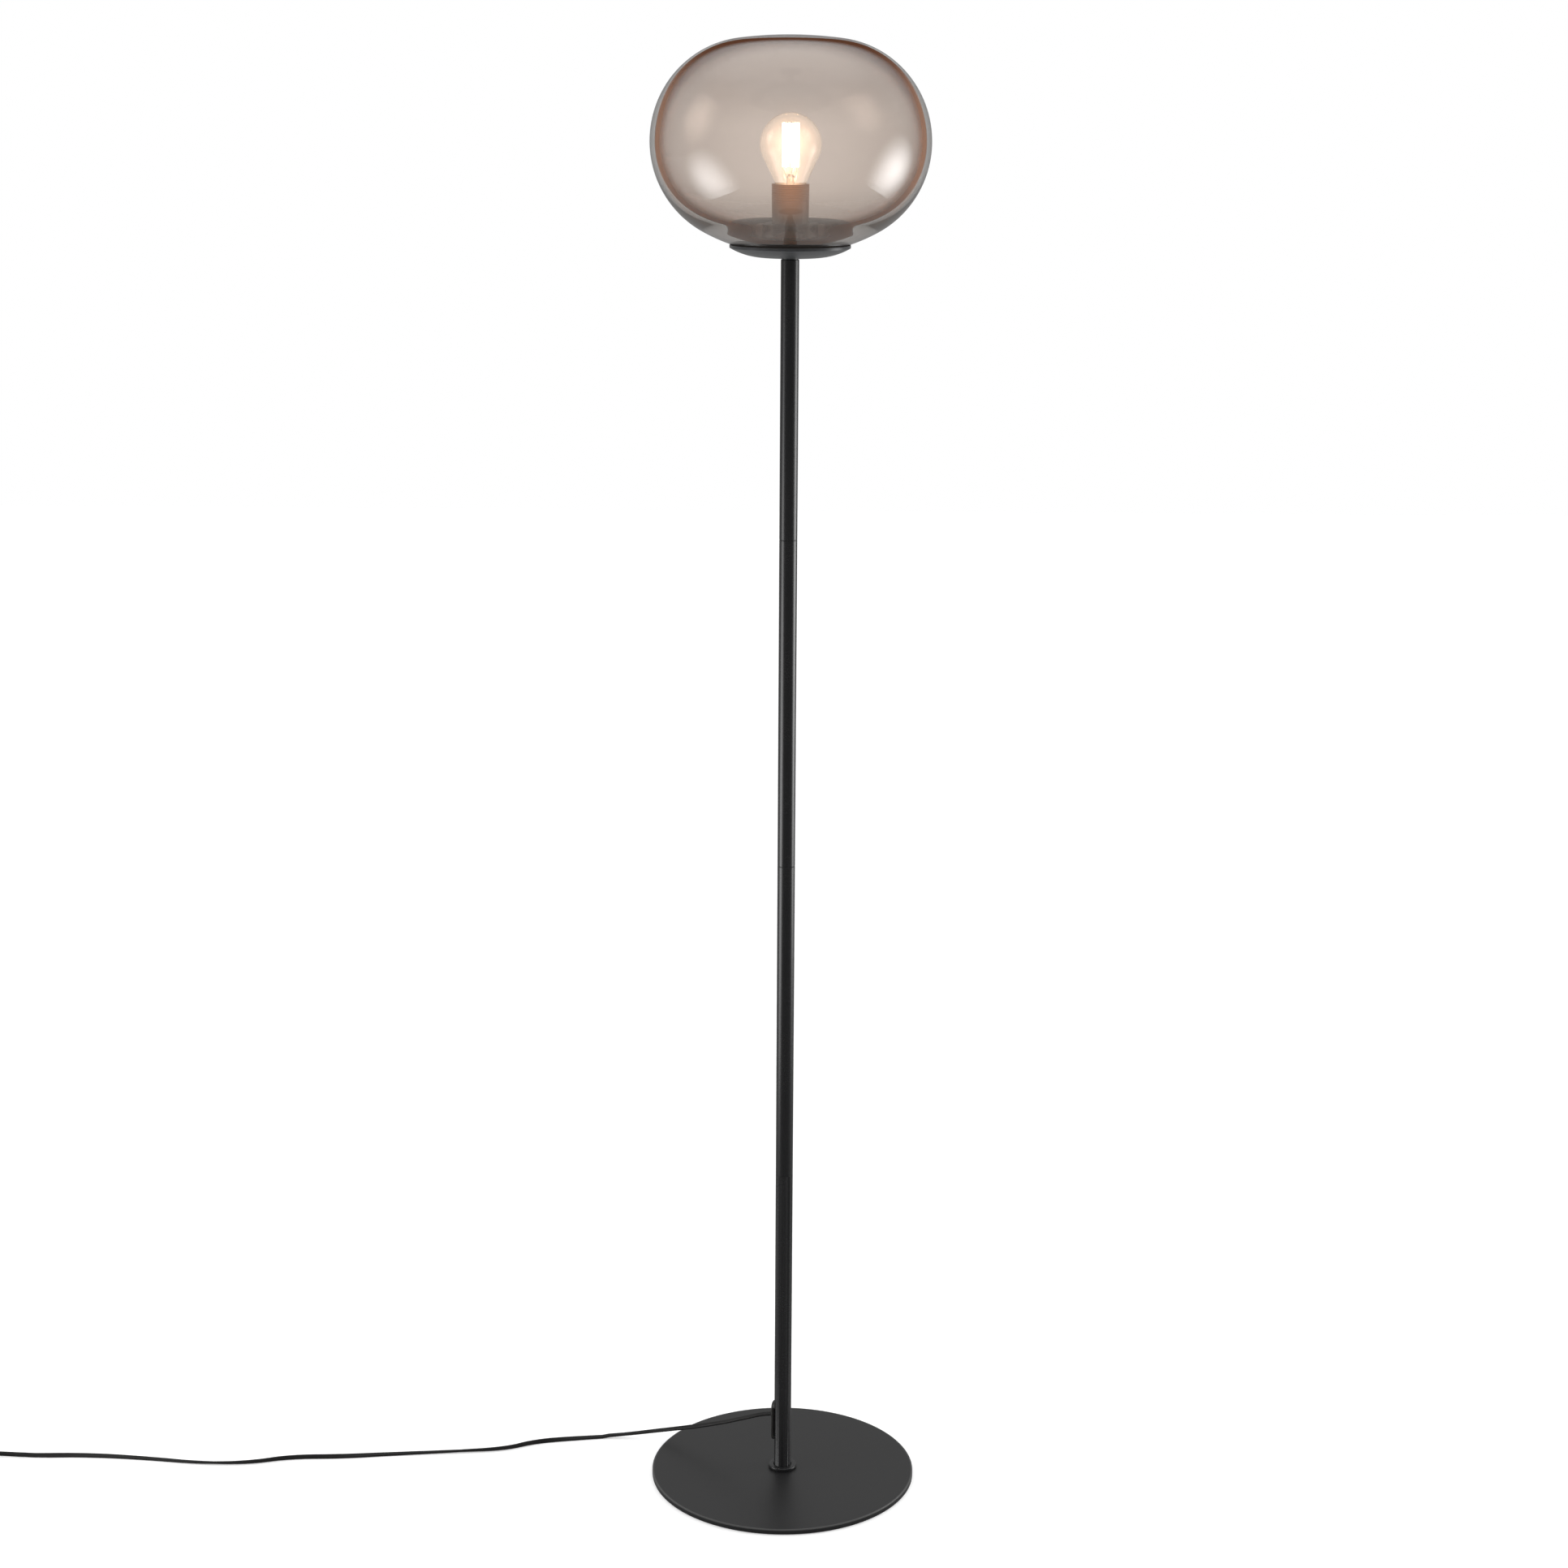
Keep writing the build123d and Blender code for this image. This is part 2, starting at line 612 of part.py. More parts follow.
spigot_r = holder_in_r - FIT
spigot_in_r = SHELL_DIA / 2 + SHELL_ROOM
with BuildPart() as holder_barrel:
    with Locations((0, 0, barrel_low)):
        Cylinder(barrel_r, BARREL_HIGH, align=UP)
        Cylinder(spigot_r, barrel_low - core_shoulder - FIT, align=DOWN)
    bore(spigot_in_r)
    with Locations((0, 0, barrel_top)):
        Cylinder(BULB_NECK_DIA / 2 + BARREL_ROOM, BARREL_MOUTH, align=DOWN, mode=Mode.SUBTRACT)
    thread_pitch = (BARREL_HIGH - 2 * THREAD_MARGIN) / BARREL_THREADS
    for count in range(BARREL_THREADS):
        groove_level = barrel_low + THREAD_MARGIN + thread_pitch * (count + 0.5)
        with Locations((0, 0, groove_level)):
            Torus(barrel_r, THREAD_DEEP, mode=Mode.SUBTRACT)
save(holder_barrel, "holder_barrel")

core_r = holder_in_r - FIT
with BuildPart() as holder_core:
    with Locations((0, 0, core_low)):
        Cylinder(core_r, core_shoulder - core_low, align=UP)
        Cylinder(spigot_in_r - FIT, CORE_HIGH, align=UP)
    with Locations((0, core_r, core_low)):
        Box(*CORE_SLOT, CORE_HIGH, align=UP, mode=Mode.SUBTRACT)
save(holder_core, "holder_core")

with BuildPart() as screw_shell:
    with Locations((0, 0, core_top)):
        Cylinder(SHELL_DIA / 2, SHELL_HIGH, align=UP)
    bore(SHELL_DIA / 2 - SHELL_WALL)
save(screw_shell, "screw_shell")

tongue_lift = bulb_low - core_top - FIT
with BuildPart() as centre_contact:
    with BuildSketch(Plane.XZ.offset(-TONGUE_WIDE / 2)):
        with BuildLine():
            Polyline(
                (-TONGUE_TAIL, core_top),
                (-TONGUE_BEND, core_top),
                (0, core_top + tongue_lift - TONGUE_WALL),
                (TONGUE_BEND, core_top + tongue_lift - TONGUE_WALL),
                (TONGUE_BEND, core_top + tongue_lift),
                (-TONGUE_SLOPE, core_top + tongue_lift),
                (-TONGUE_BEND - TONGUE_SLOPE, core_top + TONGUE_WALL),
                (-TONGUE_TAIL, core_top + TONGUE_WALL),
                close=True,
            )
        make_face()
    extrude(amount=TONGUE_WIDE)
save(centre_contact, "centre_contact")

terminal_long, terminal_wide, terminal_high = TERMINAL_BLOCK
terminal_low = core_low - terminal_high
with BuildPart() as holder_terminals:
    with Locations((TERMINAL_OUT, 0, core_low), (-TERMINAL_OUT, 0, core_low)):
        Box(*TERMINAL_BLOCK, align=DOWN)
save(holder_terminals, "holder_terminals")

with BuildPart() as terminal_screws:
    for side in (-1, 1):
        face = (side * TERMINAL_OUT, -terminal_wide / 2, core_low - terminal_high / 2)
        with Locations(Plane(origin=face, z_dir=(0, -1, 0))):
            Cylinder(TERMINAL_SCREW_DIA / 2, TERMINAL_SCREW_HIGH, align=UP)
save(terminal_screws, "terminal_screws")

with BuildPart() as holder_leads:
    for side in (-1, 1):
        lead_foot = (side * INNER_LEAD_ASIDE, 0, flex_top)
        with BuildLine() as lead_path:
            FilletPolyline(
                lead_foot,
                (side * INNER_LEAD_ASIDE, 0, flex_top + INNER_LEAD_RISE),
                (side * TERMINAL_OUT, 0, terminal_low - INNER_LEAD_END),
                (side * TERMINAL_OUT, 0, terminal_low),
                radius=INNER_LEAD_BEND,
            )
        with BuildSketch(Plane(origin=lead_foot, z_dir=(0, 0, 1))) as lead_end:
            Circle(INNER_LEAD_DIA / 2)
        sweep(sections=lead_end.sketch, path=lead_path.line)
save(holder_leads, "holder_leads")

# ---------------------------------------------------------------- bulb
cap_r = BULB_CAP_DIA / 2
cap_low = bulb_low + CAP_LIFT
cap_top = cap_low + BULB_CAP_HIGH
with BuildPart() as bulb_cap:
    with BuildSketch(Plane.XZ):
        with BuildLine():
            Polyline(
                (CAP_FOOT_R, cap_low - CAP_FOOT_DROP),
                (cap_r, cap_low + CAP_KNEE),
                (cap_r, cap_top),
                (cap_r - CAP_WALL, cap_top),
                (cap_r - CAP_WALL, cap_low + CAP_INNER_KNEE),
                (CAP_FOOT_R, cap_low - CAP_INNER_DROP),
                close=True,
            )
        make_face()
    revolve(axis=Axis.Z)
save(bulb_cap, "bulb_cap")

with BuildPart() as bulb_insulator:
    with Locations((0, 0, bulb_low + TIP_HIGH)):
        Cone(INSULATOR_LOW_R, CAP_FOOT_R - FIT, INSULATOR_HIGH, align=UP)
        Cylinder(TIP_PEG_R, INSULATOR_HIGH, align=UP, mode=Mode.SUBTRACT)
save(bulb_insulator, "bulb_insulator")

with BuildPart() as bulb_tip:
    with Locations((0, 0, bulb_low)):
        Cylinder(TIP_R, TIP_HIGH, align=UP)
        Cylinder(TIP_PEG_R - FIT, TIP_HIGH + INSULATOR_HIGH, align=UP)
    fillet(bulb_tip.edges().filter_by(GeomType.CIRCLE).sort_by(Axis.Z)[0], TIP_ROUND)
save(bulb_tip, "bulb_tip")

bulb_r = BULB_DIA / 2
bulb_middle = bulb_top - bulb_r
neck_level = barrel_top + ENVELOPE_OVER
neck_r = BULB_NECK_DIA / 2
skirt_r = cap_r - CAP_WALL - SLACK


def envelope(inset):
    """Adds the half outline of the bulb's glass, drawn in by an inset, and closes it on the axis."""
    ball = bulb_r - inset
    foot = (skirt_r - inset, cap_low + ENVELOPE_LIFT + inset)
    lip = (skirt_r - inset, cap_top)
    neck = (neck_r - inset, neck_level)
    # The straight flank from the neck is tangent to the ball.
    drop = neck_level - bulb_middle
    touch = atan2(drop, neck[0]) + acos(ball / hypot(drop, neck[0]))
    spot = (ball * cos(touch), bulb_middle + ball * sin(touch))
    half = (touch + pi / 2) / 2
    middle = (ball * cos(half), bulb_middle + ball * sin(half))
    pole = (0, bulb_middle + ball)
    Polyline(pole, (0, foot[1]), foot, lip, neck, spot)
    ThreePointArc(spot, middle, pole)


with BuildPart() as bulb_glass:
    with BuildSketch(Plane.XZ):
        with BuildLine():
            envelope(0)
        make_face()
        with BuildLine():
            envelope(BULB_GLASS)
        make_face(mode=Mode.SUBTRACT)
    revolve(axis=Axis.Z)
save(bulb_glass, "bulb_glass")

stem_low = cap_low + ENVELOPE_LIFT + 2 * BULB_GLASS + FIT
stem_top = neck_level + STEM_OVER
post_top = stem_top + POST_HIGH
filament_low = bulb_middle - FILAMENT_LONG / 2 - FILAMENT_DROP
filament_high = filament_low + FILAMENT_LONG
with BuildPart() as bulb_stem:
    with BuildSketch(Plane.XZ):
        with BuildLine():
            Polyline(
                (0, stem_low),
                (STEM_FOOT_R, stem_low),
                (STEM_LOW_R, stem_low + STEM_FLARE_HIGH),
                (STEM_HIGH_R, stem_top - STEM_NECK_DROP),
                (STEM_NECK_R, stem_top),
                (POST_R, post_top),
                (0, post_top),
                close=True,
            )
        make_face()
    revolve(axis=Axis.Z)
save(bulb_stem, "bulb_stem")

with BuildPart() as bulb_filaments:
    with Locations((0, 0, filament_low)):
        with PolarLocations(FILAMENT_CIRCLE / 2, FILAMENTS, start_angle=FILAMENT_START):
            Cylinder(FILAMENT_DIA / 2, FILAMENT_LONG, align=UP)
save(bulb_filaments, "bulb_filaments")


def rod(start, end, radius):
    """Adds a straight round rod between two points."""
    span = Vector(*end) - Vector(*start)
    with Locations(Plane(origin=start, z_dir=span)):
        Cylinder(radius, span.length, align=UP)


circle_r = FILAMENT_CIRCLE / 2
with BuildPart() as bulb_wires:
    rod((0, 0, post_top + FIT), (0, 0, filament_high + 2 * WIRE_R), WIRE_R)
    for count in range(FILAMENTS):
        angle = radians(FILAMENT_START) + 2 * pi * count / FILAMENTS
        aim = (cos(angle), sin(angle))
        high_end = (circle_r * aim[0], circle_r * aim[1], filament_high + WIRE_R + FIT)
        rod((0, 0, high_end[2]), high_end, WIRE_R)
        low_start = (WIRE_FOOT_R * aim[0], WIRE_FOOT_R * aim[1], stem_top - WIRE_FOOT_DROP)
        low_end = (circle_r * aim[0], circle_r * aim[1], filament_low - WIRE_R - FIT)
        rod(low_start, low_end, WIRE_R)
save(bulb_wires, "bulb_wires")

# ---------------------------------------------------------------- switch
with BuildPart() as switch_plate:
    with BuildSketch(switch_face(PLATE_MIDDLE, PLATE_START)):
        SlotOverall(PLATE_LONG, PLATE_WIDE)
    extrude(amount=plate_out - PLATE_START)
    outward = Axis((0, 0, 0), (out.X, out.Y, 0))
    fillet(switch_plate.faces().sort_by(outward)[-1].edges(), PLATE_ROUND)
    Cylinder(pole_r + FIT, 4 * PLATE_LONG, mode=Mode.SUBTRACT)
    with BuildSketch(switch_face(ROCKER_MIDDLE, 0)):
        Rectangle(window_long, window_wide)
    extrude(amount=POLE_DIA, mode=Mode.SUBTRACT)
    with BuildSketch(switch_face(CORD_EXIT, 0)):
        Circle(BUSH_DIA / 2 + FIT)
    extrude(amount=POLE_DIA, mode=Mode.SUBTRACT)
    pivot = out * pivot_out + Vector(0, 0, ROCKER_MIDDLE)
    pin_half = window_wide / 2 + PIN_BEYOND
    with Locations(Plane(origin=pivot, z_dir=across)):
        Cylinder(PIN_DIA / 2 + FIT, 2 * pin_half + SLACK, mode=Mode.SUBTRACT)
save(switch_plate, "switch_plate")

with BuildPart() as rocker_pin:
    with Locations(Plane(origin=pivot, z_dir=across)):
        Cylinder(PIN_DIA / 2, 2 * pin_half)
save(rocker_pin, "rocker_pin")

# At rest the rocker's lower end stands out.
tilt = radians(ROCKER_TILT)
rocker_up = Vector(0, 0, cos(tilt)) - out * sin(tilt)
rocker_plane = Plane(origin=pivot, x_dir=rocker_up, z_dir=across)
edge_half = sqrt(ROCKER_RADIUS**2 - ROCKER_EDGE**2)
deep_half = sqrt(ROCKER_RADIUS**2 - ROCKER_DEEP**2)
with BuildPart() as switch_rocker:
    with BuildSketch(rocker_plane):
        with BuildLine():
            ThreePointArc((-edge_half, ROCKER_EDGE), (0, ROCKER_CROWN), (edge_half, ROCKER_EDGE))
            ThreePointArc((edge_half, ROCKER_EDGE), (ROCKER_RADIUS, 0), (deep_half, -ROCKER_DEEP))
            Line((deep_half, -ROCKER_DEEP), (-deep_half, -ROCKER_DEEP))
            ThreePointArc(
                (-deep_half, -ROCKER_DEEP), (-ROCKER_RADIUS, 0), (-edge_half, ROCKER_EDGE)
            )
        make_face()
    extrude(amount=ROCKER_WIDE / 2, both=True)
    fillet(switch_rocker.faces().sort_by(outward)[-1].edges(), ROCKER_ROUND)
    with Locations(Plane(origin=pivot, z_dir=across)):
        Cylinder(PIN_DIA / 2 + PIN_FIT, 2 * ROCKER_WIDE, mode=Mode.SUBTRACT)
save(switch_rocker, "switch_rocker")

contact_half = deep_half - MOVING_CONTACT_SHORT
contact_deep = ROCKER_DEEP + MOVING_CONTACT_WALL
with BuildPart() as moving_contact:
    with BuildSketch(rocker_plane):
        with Locations((0, -ROCKER_DEEP - MOVING_CONTACT_WALL / 2)):
            Rectangle(2 * contact_half, MOVING_CONTACT_WALL)
    extrude(amount=MOVING_CONTACT_HALF, both=True)
save(moving_contact, "moving_contact")


def switch_spot(level, distance, aside=0):
    """A place in the switch: its X runs across the plate, its Y upwards and its Z outwards."""
    origin = out * distance + across * aside + Vector(0, 0, level)
    return Plane(origin=origin, x_dir=across, z_dir=out)


contact_low = pivot_out - contact_deep * cos(tilt) - contact_half * sin(tilt)
terminal_top = contact_low - CONTACT_ROOM
terminal_back = SWITCH_BODY_BACK - SWITCH_TERMINAL_BEHIND
lead_out = terminal_back - LEAD_DIA / 2 - LEAD_ROOM
lead_aside = (LEAD_DIA + LEAD_APART) / 2
terminals = [
    (ROCKER_MIDDLE - SWITCH_TERMINAL_APART / 2, lead_aside),
    (ROCKER_MIDDLE + SWITCH_TERMINAL_APART / 2, -lead_aside),
]
terminal_hole = [size + 2 * FIT for size in SWITCH_TERMINAL]
with BuildPart() as switch_body:
    with Locations(switch_spot(ROCKER_MIDDLE, SWITCH_BODY_BACK)):
        Box(body_wide, body_long, POLE_DIA, align=UP)
    with Locations(switch_spot(ROCKER_MIDDLE, SWITCH_POCKET)):
        Box(window_wide, window_long, POLE_DIA, align=UP, mode=Mode.SUBTRACT)
    for level, aside in terminals:
        with Locations(switch_spot(level, SWITCH_BODY_BACK, aside)):
            Box(*terminal_hole, SWITCH_TERMINAL_ROOM, mode=Mode.SUBTRACT)
    Cylinder(pole_r, 4 * PLATE_LONG, mode=Mode.INTERSECT)
save(switch_body, "switch_body")

with BuildPart() as switch_terminals:
    for level, aside in terminals:
        with Locations(switch_spot(level, terminal_back, aside)):
            Box(*SWITCH_TERMINAL, terminal_top - terminal_back, align=UP)
save(switch_terminals, "switch_terminals")

with BuildPart() as switch_leads:
    for level, aside in terminals:
        foot = out * lead_out + across * aside + Vector(0, 0, level - LEAD_UNDER)
        with Locations(foot):
            Cylinder(LEAD_DIA / 2, CLAMP_LOW + LEAD_IN_CLAMP - foot.Z, align=UP)
save(switch_leads, "switch_leads")

with BuildPart() as cord_clamp:
    with Locations((0, 0, CLAMP_LOW)):
        Cylinder(insert_r, CLAMP_HIGH, align=UP)
    chamfer(cord_clamp.edges().filter_by(GeomType.CIRCLE), CLAMP_CHAMFER)
    with BuildSketch(Plane(origin=(0, 0, CLAMP_LOW), x_dir=across, z_dir=(0, 0, 1))):
        SlotOverall(FLEX_WIDE + 2 * CORD_FIT, FLEX_THICK + 2 * CORD_FIT)
    extrude(amount=CLAMP_HIGH, mode=Mode.SUBTRACT)
    for level, aside in terminals:
        foot = out * lead_out + across * aside + Vector(0, 0, CLAMP_LOW)
        with Locations(foot):
            lead_hole_r = LEAD_DIA / 2 + FIT
            Cylinder(lead_hole_r, LEAD_IN_CLAMP + SLACK, align=UP, mode=Mode.SUBTRACT)
save(cord_clamp, "cord_clamp")

with BuildPart() as cord_bush:
    with Locations(switch_spot(CORD_EXIT, pole_in_r)):
        Cylinder(BUSH_DIA / 2, plate_out - pole_in_r, align=UP)
    with Locations(switch_spot(CORD_EXIT, plate_out)):
        Cylinder(BUSH_LIP_DIA / 2, BUSH_LIP, align=UP)
    fillet(cord_bush.edges().filter_by(GeomType.CIRCLE).sort_by(outward)[-1], BUSH_ROUND)
    with Locations(switch_spot(CORD_EXIT, pole_in_r)):
        Cylinder(CORD_DIA / 2 + CORD_FIT, POLE_DIA, mode=Mode.SUBTRACT)
save(cord_bush, "cord_bush")

# ---------------------------------------------------------------- cords
cord_out = plate_out + BUSH_LIP
cord_start = out * cord_out + Vector(0, 0, CORD_EXIT)
with BuildPart() as pole_flex:
    with BuildLine() as flex_path:
        bend = FLEX_THICK + FLEX_BEND_ROOM
        FilletPolyline(tuple(cord_start), (0, 0, CORD_EXIT), (0, 0, flex_top), radius=bend)
    with BuildSketch(Plane(origin=cord_start, x_dir=across, z_dir=-out)) as flex_end:
        SlotOverall(FLEX_WIDE, FLEX_THICK)
    sweep(sections=flex_end.sketch, path=flex_path.line)
save(pole_flex, "pole_flex")


def corner_radii(points):
    """Each corner's radius: 0.45 of the shorter run over the tangent of half the turn."""
    radii = []
    for before, here, after in zip(points, points[1:], points[2:]):
        run_in = Vector(*here) - Vector(*before)
        run_out = Vector(*after) - Vector(*here)
        half_turn = radians(run_in.get_angle(run_out)) / 2
        radii.append(0.45 * min(run_in.length, run_out.length) / tan(half_turn))
    return radii


def report_tube(name, made, length):
    """Prints a tube's volume against its section times its length."""
    section = pi * CORD_DIA**2 / 4
    print(name, "length", round(length, 1), "volume share", made.part.volume / (section * length))


coil_z = CORD_DIA / 2 + COIL_LIFT
coil_start = (COIL_MIDDLE[0], COIL_MIDDLE[1] + COIL_RADIUS, coil_z)
coil_entry = (coil_start[0] + CORD_DIA, coil_start[1], coil_z)
first_point = cord_start + out * FIRST_RUN
last_point = (coil_entry[0] + LAST_RUN, coil_entry[1], coil_z)
route = [tuple(cord_start), tuple(first_point), *ROUTE, last_point, coil_entry]
radii = corner_radii(route)
print("mains_cord radii", [round(radius) for radius in radii])
with BuildPart() as mains_cord:
    with BuildLine() as cord_path:
        FilletPolyline(*route, radius=radii)
    with BuildSketch(Plane(origin=cord_start, z_dir=out)) as cord_end:
        Circle(CORD_DIA / 2)
    sweep(sections=cord_end.sketch, path=cord_path.line)
cord_length = cord_path.wires()[0].length
report_tube("mains_cord", mains_cord, cord_length)
save(mains_cord, "mains_cord")


def coil_half_turns():
    """The coil's half turns as start, middle and end: inwards in the lower layer, up a layer in
    the half turn where the spiral reverses, and outwards in the upper layer."""
    shrink = COIL_STEP / 2
    inner = COIL_RADIUS - shrink * (COIL_HALF_TURNS + 1)
    inwards = [COIL_RADIUS - shrink * count for count in range(COIL_HALF_TURNS + 1)]
    outwards = [inner + shrink * (count + 1) for count in range(COIL_HALF_TURNS)]
    spot = Vector(*coil_start)
    aim = -1  # the first half turn runs to -X and round to -Y
    turns = []
    for radius in inwards + [inner] + outwards:
        rise = COIL_STEP if radius == inner else 0
        end = spot + Vector(0, aim * 2 * radius, rise)
        reach = (end - spot).length / 2
        turns.append((spot, (spot + end) / 2 + Vector(aim * reach, 0, 0), end))
        spot = end
        aim = -aim
    return turns


half_turns = coil_half_turns()
coil_last = half_turns[-1][2]
quarter_r = COIL_RADIUS
quarter_middle = coil_last - Vector(0, quarter_r, 0)
quarter_end = quarter_middle - Vector(quarter_r, 0, 0)
quarter_half = quarter_middle + Vector(-quarter_r, quarter_r, 0) * sqrt(0.5)
coil_exit = quarter_end - Vector(0, CORD_DIA, 0)
with BuildPart() as cord_coil:
    with BuildLine() as coil_path:
        Line(coil_entry, coil_start)
        for half_turn in half_turns:
            ThreePointArc(*half_turn)
        ThreePointArc(coil_last, quarter_half, quarter_end)
        Line(quarter_end, coil_exit)
    with BuildSketch(Plane(origin=coil_entry, z_dir=(-1, 0, 0))) as coil_end:
        Circle(CORD_DIA / 2)
    sweep(sections=coil_end.sketch, path=coil_path.line)
coil_wire = coil_path.wires()[0]
coil_length = coil_wire.length
report_tube("cord_coil", cord_coil, coil_length)
SAMPLES = 1200
coil_points = [coil_wire @ (count / SAMPLES) for count in range(SAMPLES + 1)]
apart = int(SAMPLES * 4 * CORD_DIA / coil_length)
least = min(
    (one - other).length
    for count, one in enumerate(coil_points)
    for other in coil_points[count + apart :]
)
print("cord_coil least gap to itself", round(least - CORD_DIA, 3))
save(cord_coil, "cord_coil")

tail_drop = coil_exit.Z - PLUG_THICK / 2
tail_route = [tuple(coil_exit)]
for aside, along, share in TAIL:
    tail_route.append(tuple(quarter_end + Vector(aside, along, -share * tail_drop)))
plug_back = tail_route[-1]
tail_radii = corner_radii(tail_route)
print("cord_tail radii", [round(radius) for radius in tail_radii])
with BuildPart() as cord_tail:
    with BuildLine() as tail_path:
        FilletPolyline(*tail_route, radius=tail_radii)
    tail_aim = Vector(*tail_route[1]) - Vector(*tail_route[0])
    with BuildSketch(Plane(origin=coil_exit, z_dir=tail_aim)) as tail_end:
        Circle(CORD_DIA / 2)
    sweep(sections=tail_end.sketch, path=tail_path.line)
tail_length = tail_path.wires()[0].length
report_tube("cord_tail", cord_tail, tail_length)
print("whole cord", round(cord_length + coil_length + tail_length, 1))
save(cord_tail, "cord_tail")

# The tie goes round the turns on the coil's side towards the lamp.
bundle_out = COIL_RADIUS - COIL_STEP / 2 + CORD_DIA / 2
bundle_in = COIL_RADIUS - COIL_STEP / 2 * (COIL_HALF_TURNS + 1) - CORD_DIA / 2
bundle_wide = bundle_out - bundle_in + 2 * TIE_GAP
bundle_high = CORD_DIA + COIL_STEP + 2 * TIE_GAP
bundle_middle = COIL_MIDDLE[0] + (bundle_out + bundle_in) / 2
with BuildPart() as coil_tie:
    tie_level = coil_z + COIL_STEP / 2
    tie_y = (half_turns[1][0].Y + half_turns[1][2].Y - TIE_WIDE) / 2
    tie_plane = Plane(
        origin=(bundle_middle, tie_y, tie_level), x_dir=(1, 0, 0), z_dir=(0, 1, 0)
    )
    with BuildSketch(tie_plane):
        tie_in = bundle_wide + 2 * TIE_ENDS
        tie_out_round = TIE_ROUND + 0.75 * TIE_WALL
        RectangleRounded(tie_in + 2 * TIE_WALL, bundle_high + 2 * TIE_WALL, tie_out_round)
        RectangleRounded(tie_in, bundle_high, TIE_ROUND, mode=Mode.SUBTRACT)
    extrude(amount=TIE_WIDE)
save(coil_tie, "coil_tie")

# ---------------------------------------------------------------- plug
plug_face = Plane(origin=plug_back, x_dir=(1, 0, 0), z_dir=(0, -1, 0))
grip_start = PLUG_LONG * PLUG_GRIP_SHARE
with BuildPart() as plug_body:
    with BuildSketch(plug_face):
        Circle(PLUG_RELIEF_DIA / 2)
    with BuildSketch(plug_face.offset(PLUG_RELIEF_LONG)):
        Circle(PLUG_RELIEF_DIA / 2 + PLUG_RELIEF_FLARE)
    loft()
    with BuildSketch(plug_face.offset(PLUG_RELIEF_LONG)):
        neck_wide, neck_thick = PLUG_NECK_SHARE
        RectangleRounded(PLUG_WIDE * neck_wide, PLUG_THICK * neck_thick, PLUG_NECK_ROUND)
    with BuildSketch(plug_face.offset(grip_start)):
        RectangleRounded(PLUG_WIDE, PLUG_THICK, PLUG_ROUND)
    loft()
    with BuildSketch(plug_face.offset(grip_start)):
        RectangleRounded(PLUG_WIDE, PLUG_THICK, PLUG_ROUND)
    extrude(amount=PLUG_LONG - grip_start)
save(plug_body, "plug_body")

with BuildPart() as plug_pins:
    with Locations(plug_face.offset(PLUG_LONG)):
        with Locations((PLUG_PIN_APART / 2, 0), (-PLUG_PIN_APART / 2, 0)):
            Cylinder(PLUG_PIN_DIA / 2, PLUG_PIN_LONG, align=UP)
    fillet(plug_pins.edges().filter_by(GeomType.CIRCLE).group_by(Axis.Y)[0], PLUG_PIN_ROUND)
save(plug_pins, "plug_pins")
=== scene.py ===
"""Globe floor lamp: the visible pieces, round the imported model, in metres."""

import json
from math import acos, atan2, cos, hypot, pi, radians, sin

import bmesh
import bpy
from bpy.props import FloatProperty, FloatVectorProperty, IntProperty
from mathutils import Matrix, Vector

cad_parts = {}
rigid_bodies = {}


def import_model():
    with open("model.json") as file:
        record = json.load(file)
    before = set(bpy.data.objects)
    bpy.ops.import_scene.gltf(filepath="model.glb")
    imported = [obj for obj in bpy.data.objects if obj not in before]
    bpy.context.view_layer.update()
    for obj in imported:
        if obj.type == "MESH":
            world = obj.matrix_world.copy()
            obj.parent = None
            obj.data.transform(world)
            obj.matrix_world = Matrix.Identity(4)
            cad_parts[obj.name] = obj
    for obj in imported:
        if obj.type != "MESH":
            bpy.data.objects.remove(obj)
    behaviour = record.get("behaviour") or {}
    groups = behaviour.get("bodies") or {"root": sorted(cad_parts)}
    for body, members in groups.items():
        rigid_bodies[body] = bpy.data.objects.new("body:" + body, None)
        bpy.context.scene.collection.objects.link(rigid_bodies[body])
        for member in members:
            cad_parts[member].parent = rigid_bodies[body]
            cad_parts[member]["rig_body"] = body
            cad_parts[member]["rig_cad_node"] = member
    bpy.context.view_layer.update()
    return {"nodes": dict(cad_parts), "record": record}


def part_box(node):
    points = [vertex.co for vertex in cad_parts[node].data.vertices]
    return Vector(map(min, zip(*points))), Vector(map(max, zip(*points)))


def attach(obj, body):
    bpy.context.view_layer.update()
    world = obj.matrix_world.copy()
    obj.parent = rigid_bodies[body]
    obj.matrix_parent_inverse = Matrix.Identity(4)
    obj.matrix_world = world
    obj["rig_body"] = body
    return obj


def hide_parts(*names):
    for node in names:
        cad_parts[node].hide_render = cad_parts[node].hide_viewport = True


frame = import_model()

bl_info = {
    "name": "Globe floor lamp",
    "version": (1, 0, 0),
    "blender": (4, 5, 0),
    "location": "View3D > Sidebar > Lamp",
    "description": "Makes the pieces of a globe floor lamp round its packed model",
    "category": "Object",
}

MM = 0.001
MERGE = 1e-6  # points that are nearer than this are one
ON_AXIS = 1e-9  # a point with a smaller radius is on the axis


def top(node):
    """The highest level of a CAD node."""
    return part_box(node)[1].z


def low(node):
    """The lowest level of a CAD node."""
    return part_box(node)[0].z


def reach(node):
    """The radius of a CAD node that is round about the pole."""
    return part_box(node)[1].x


# ---------------------------------------------------------------- settings
def length(name, description, default):
    return FloatProperty(name=name, description=description, default=default, unit="LENGTH")


def share(name, description, default):
    return FloatProperty(name=name, description=description, default=default, subtype="FACTOR")


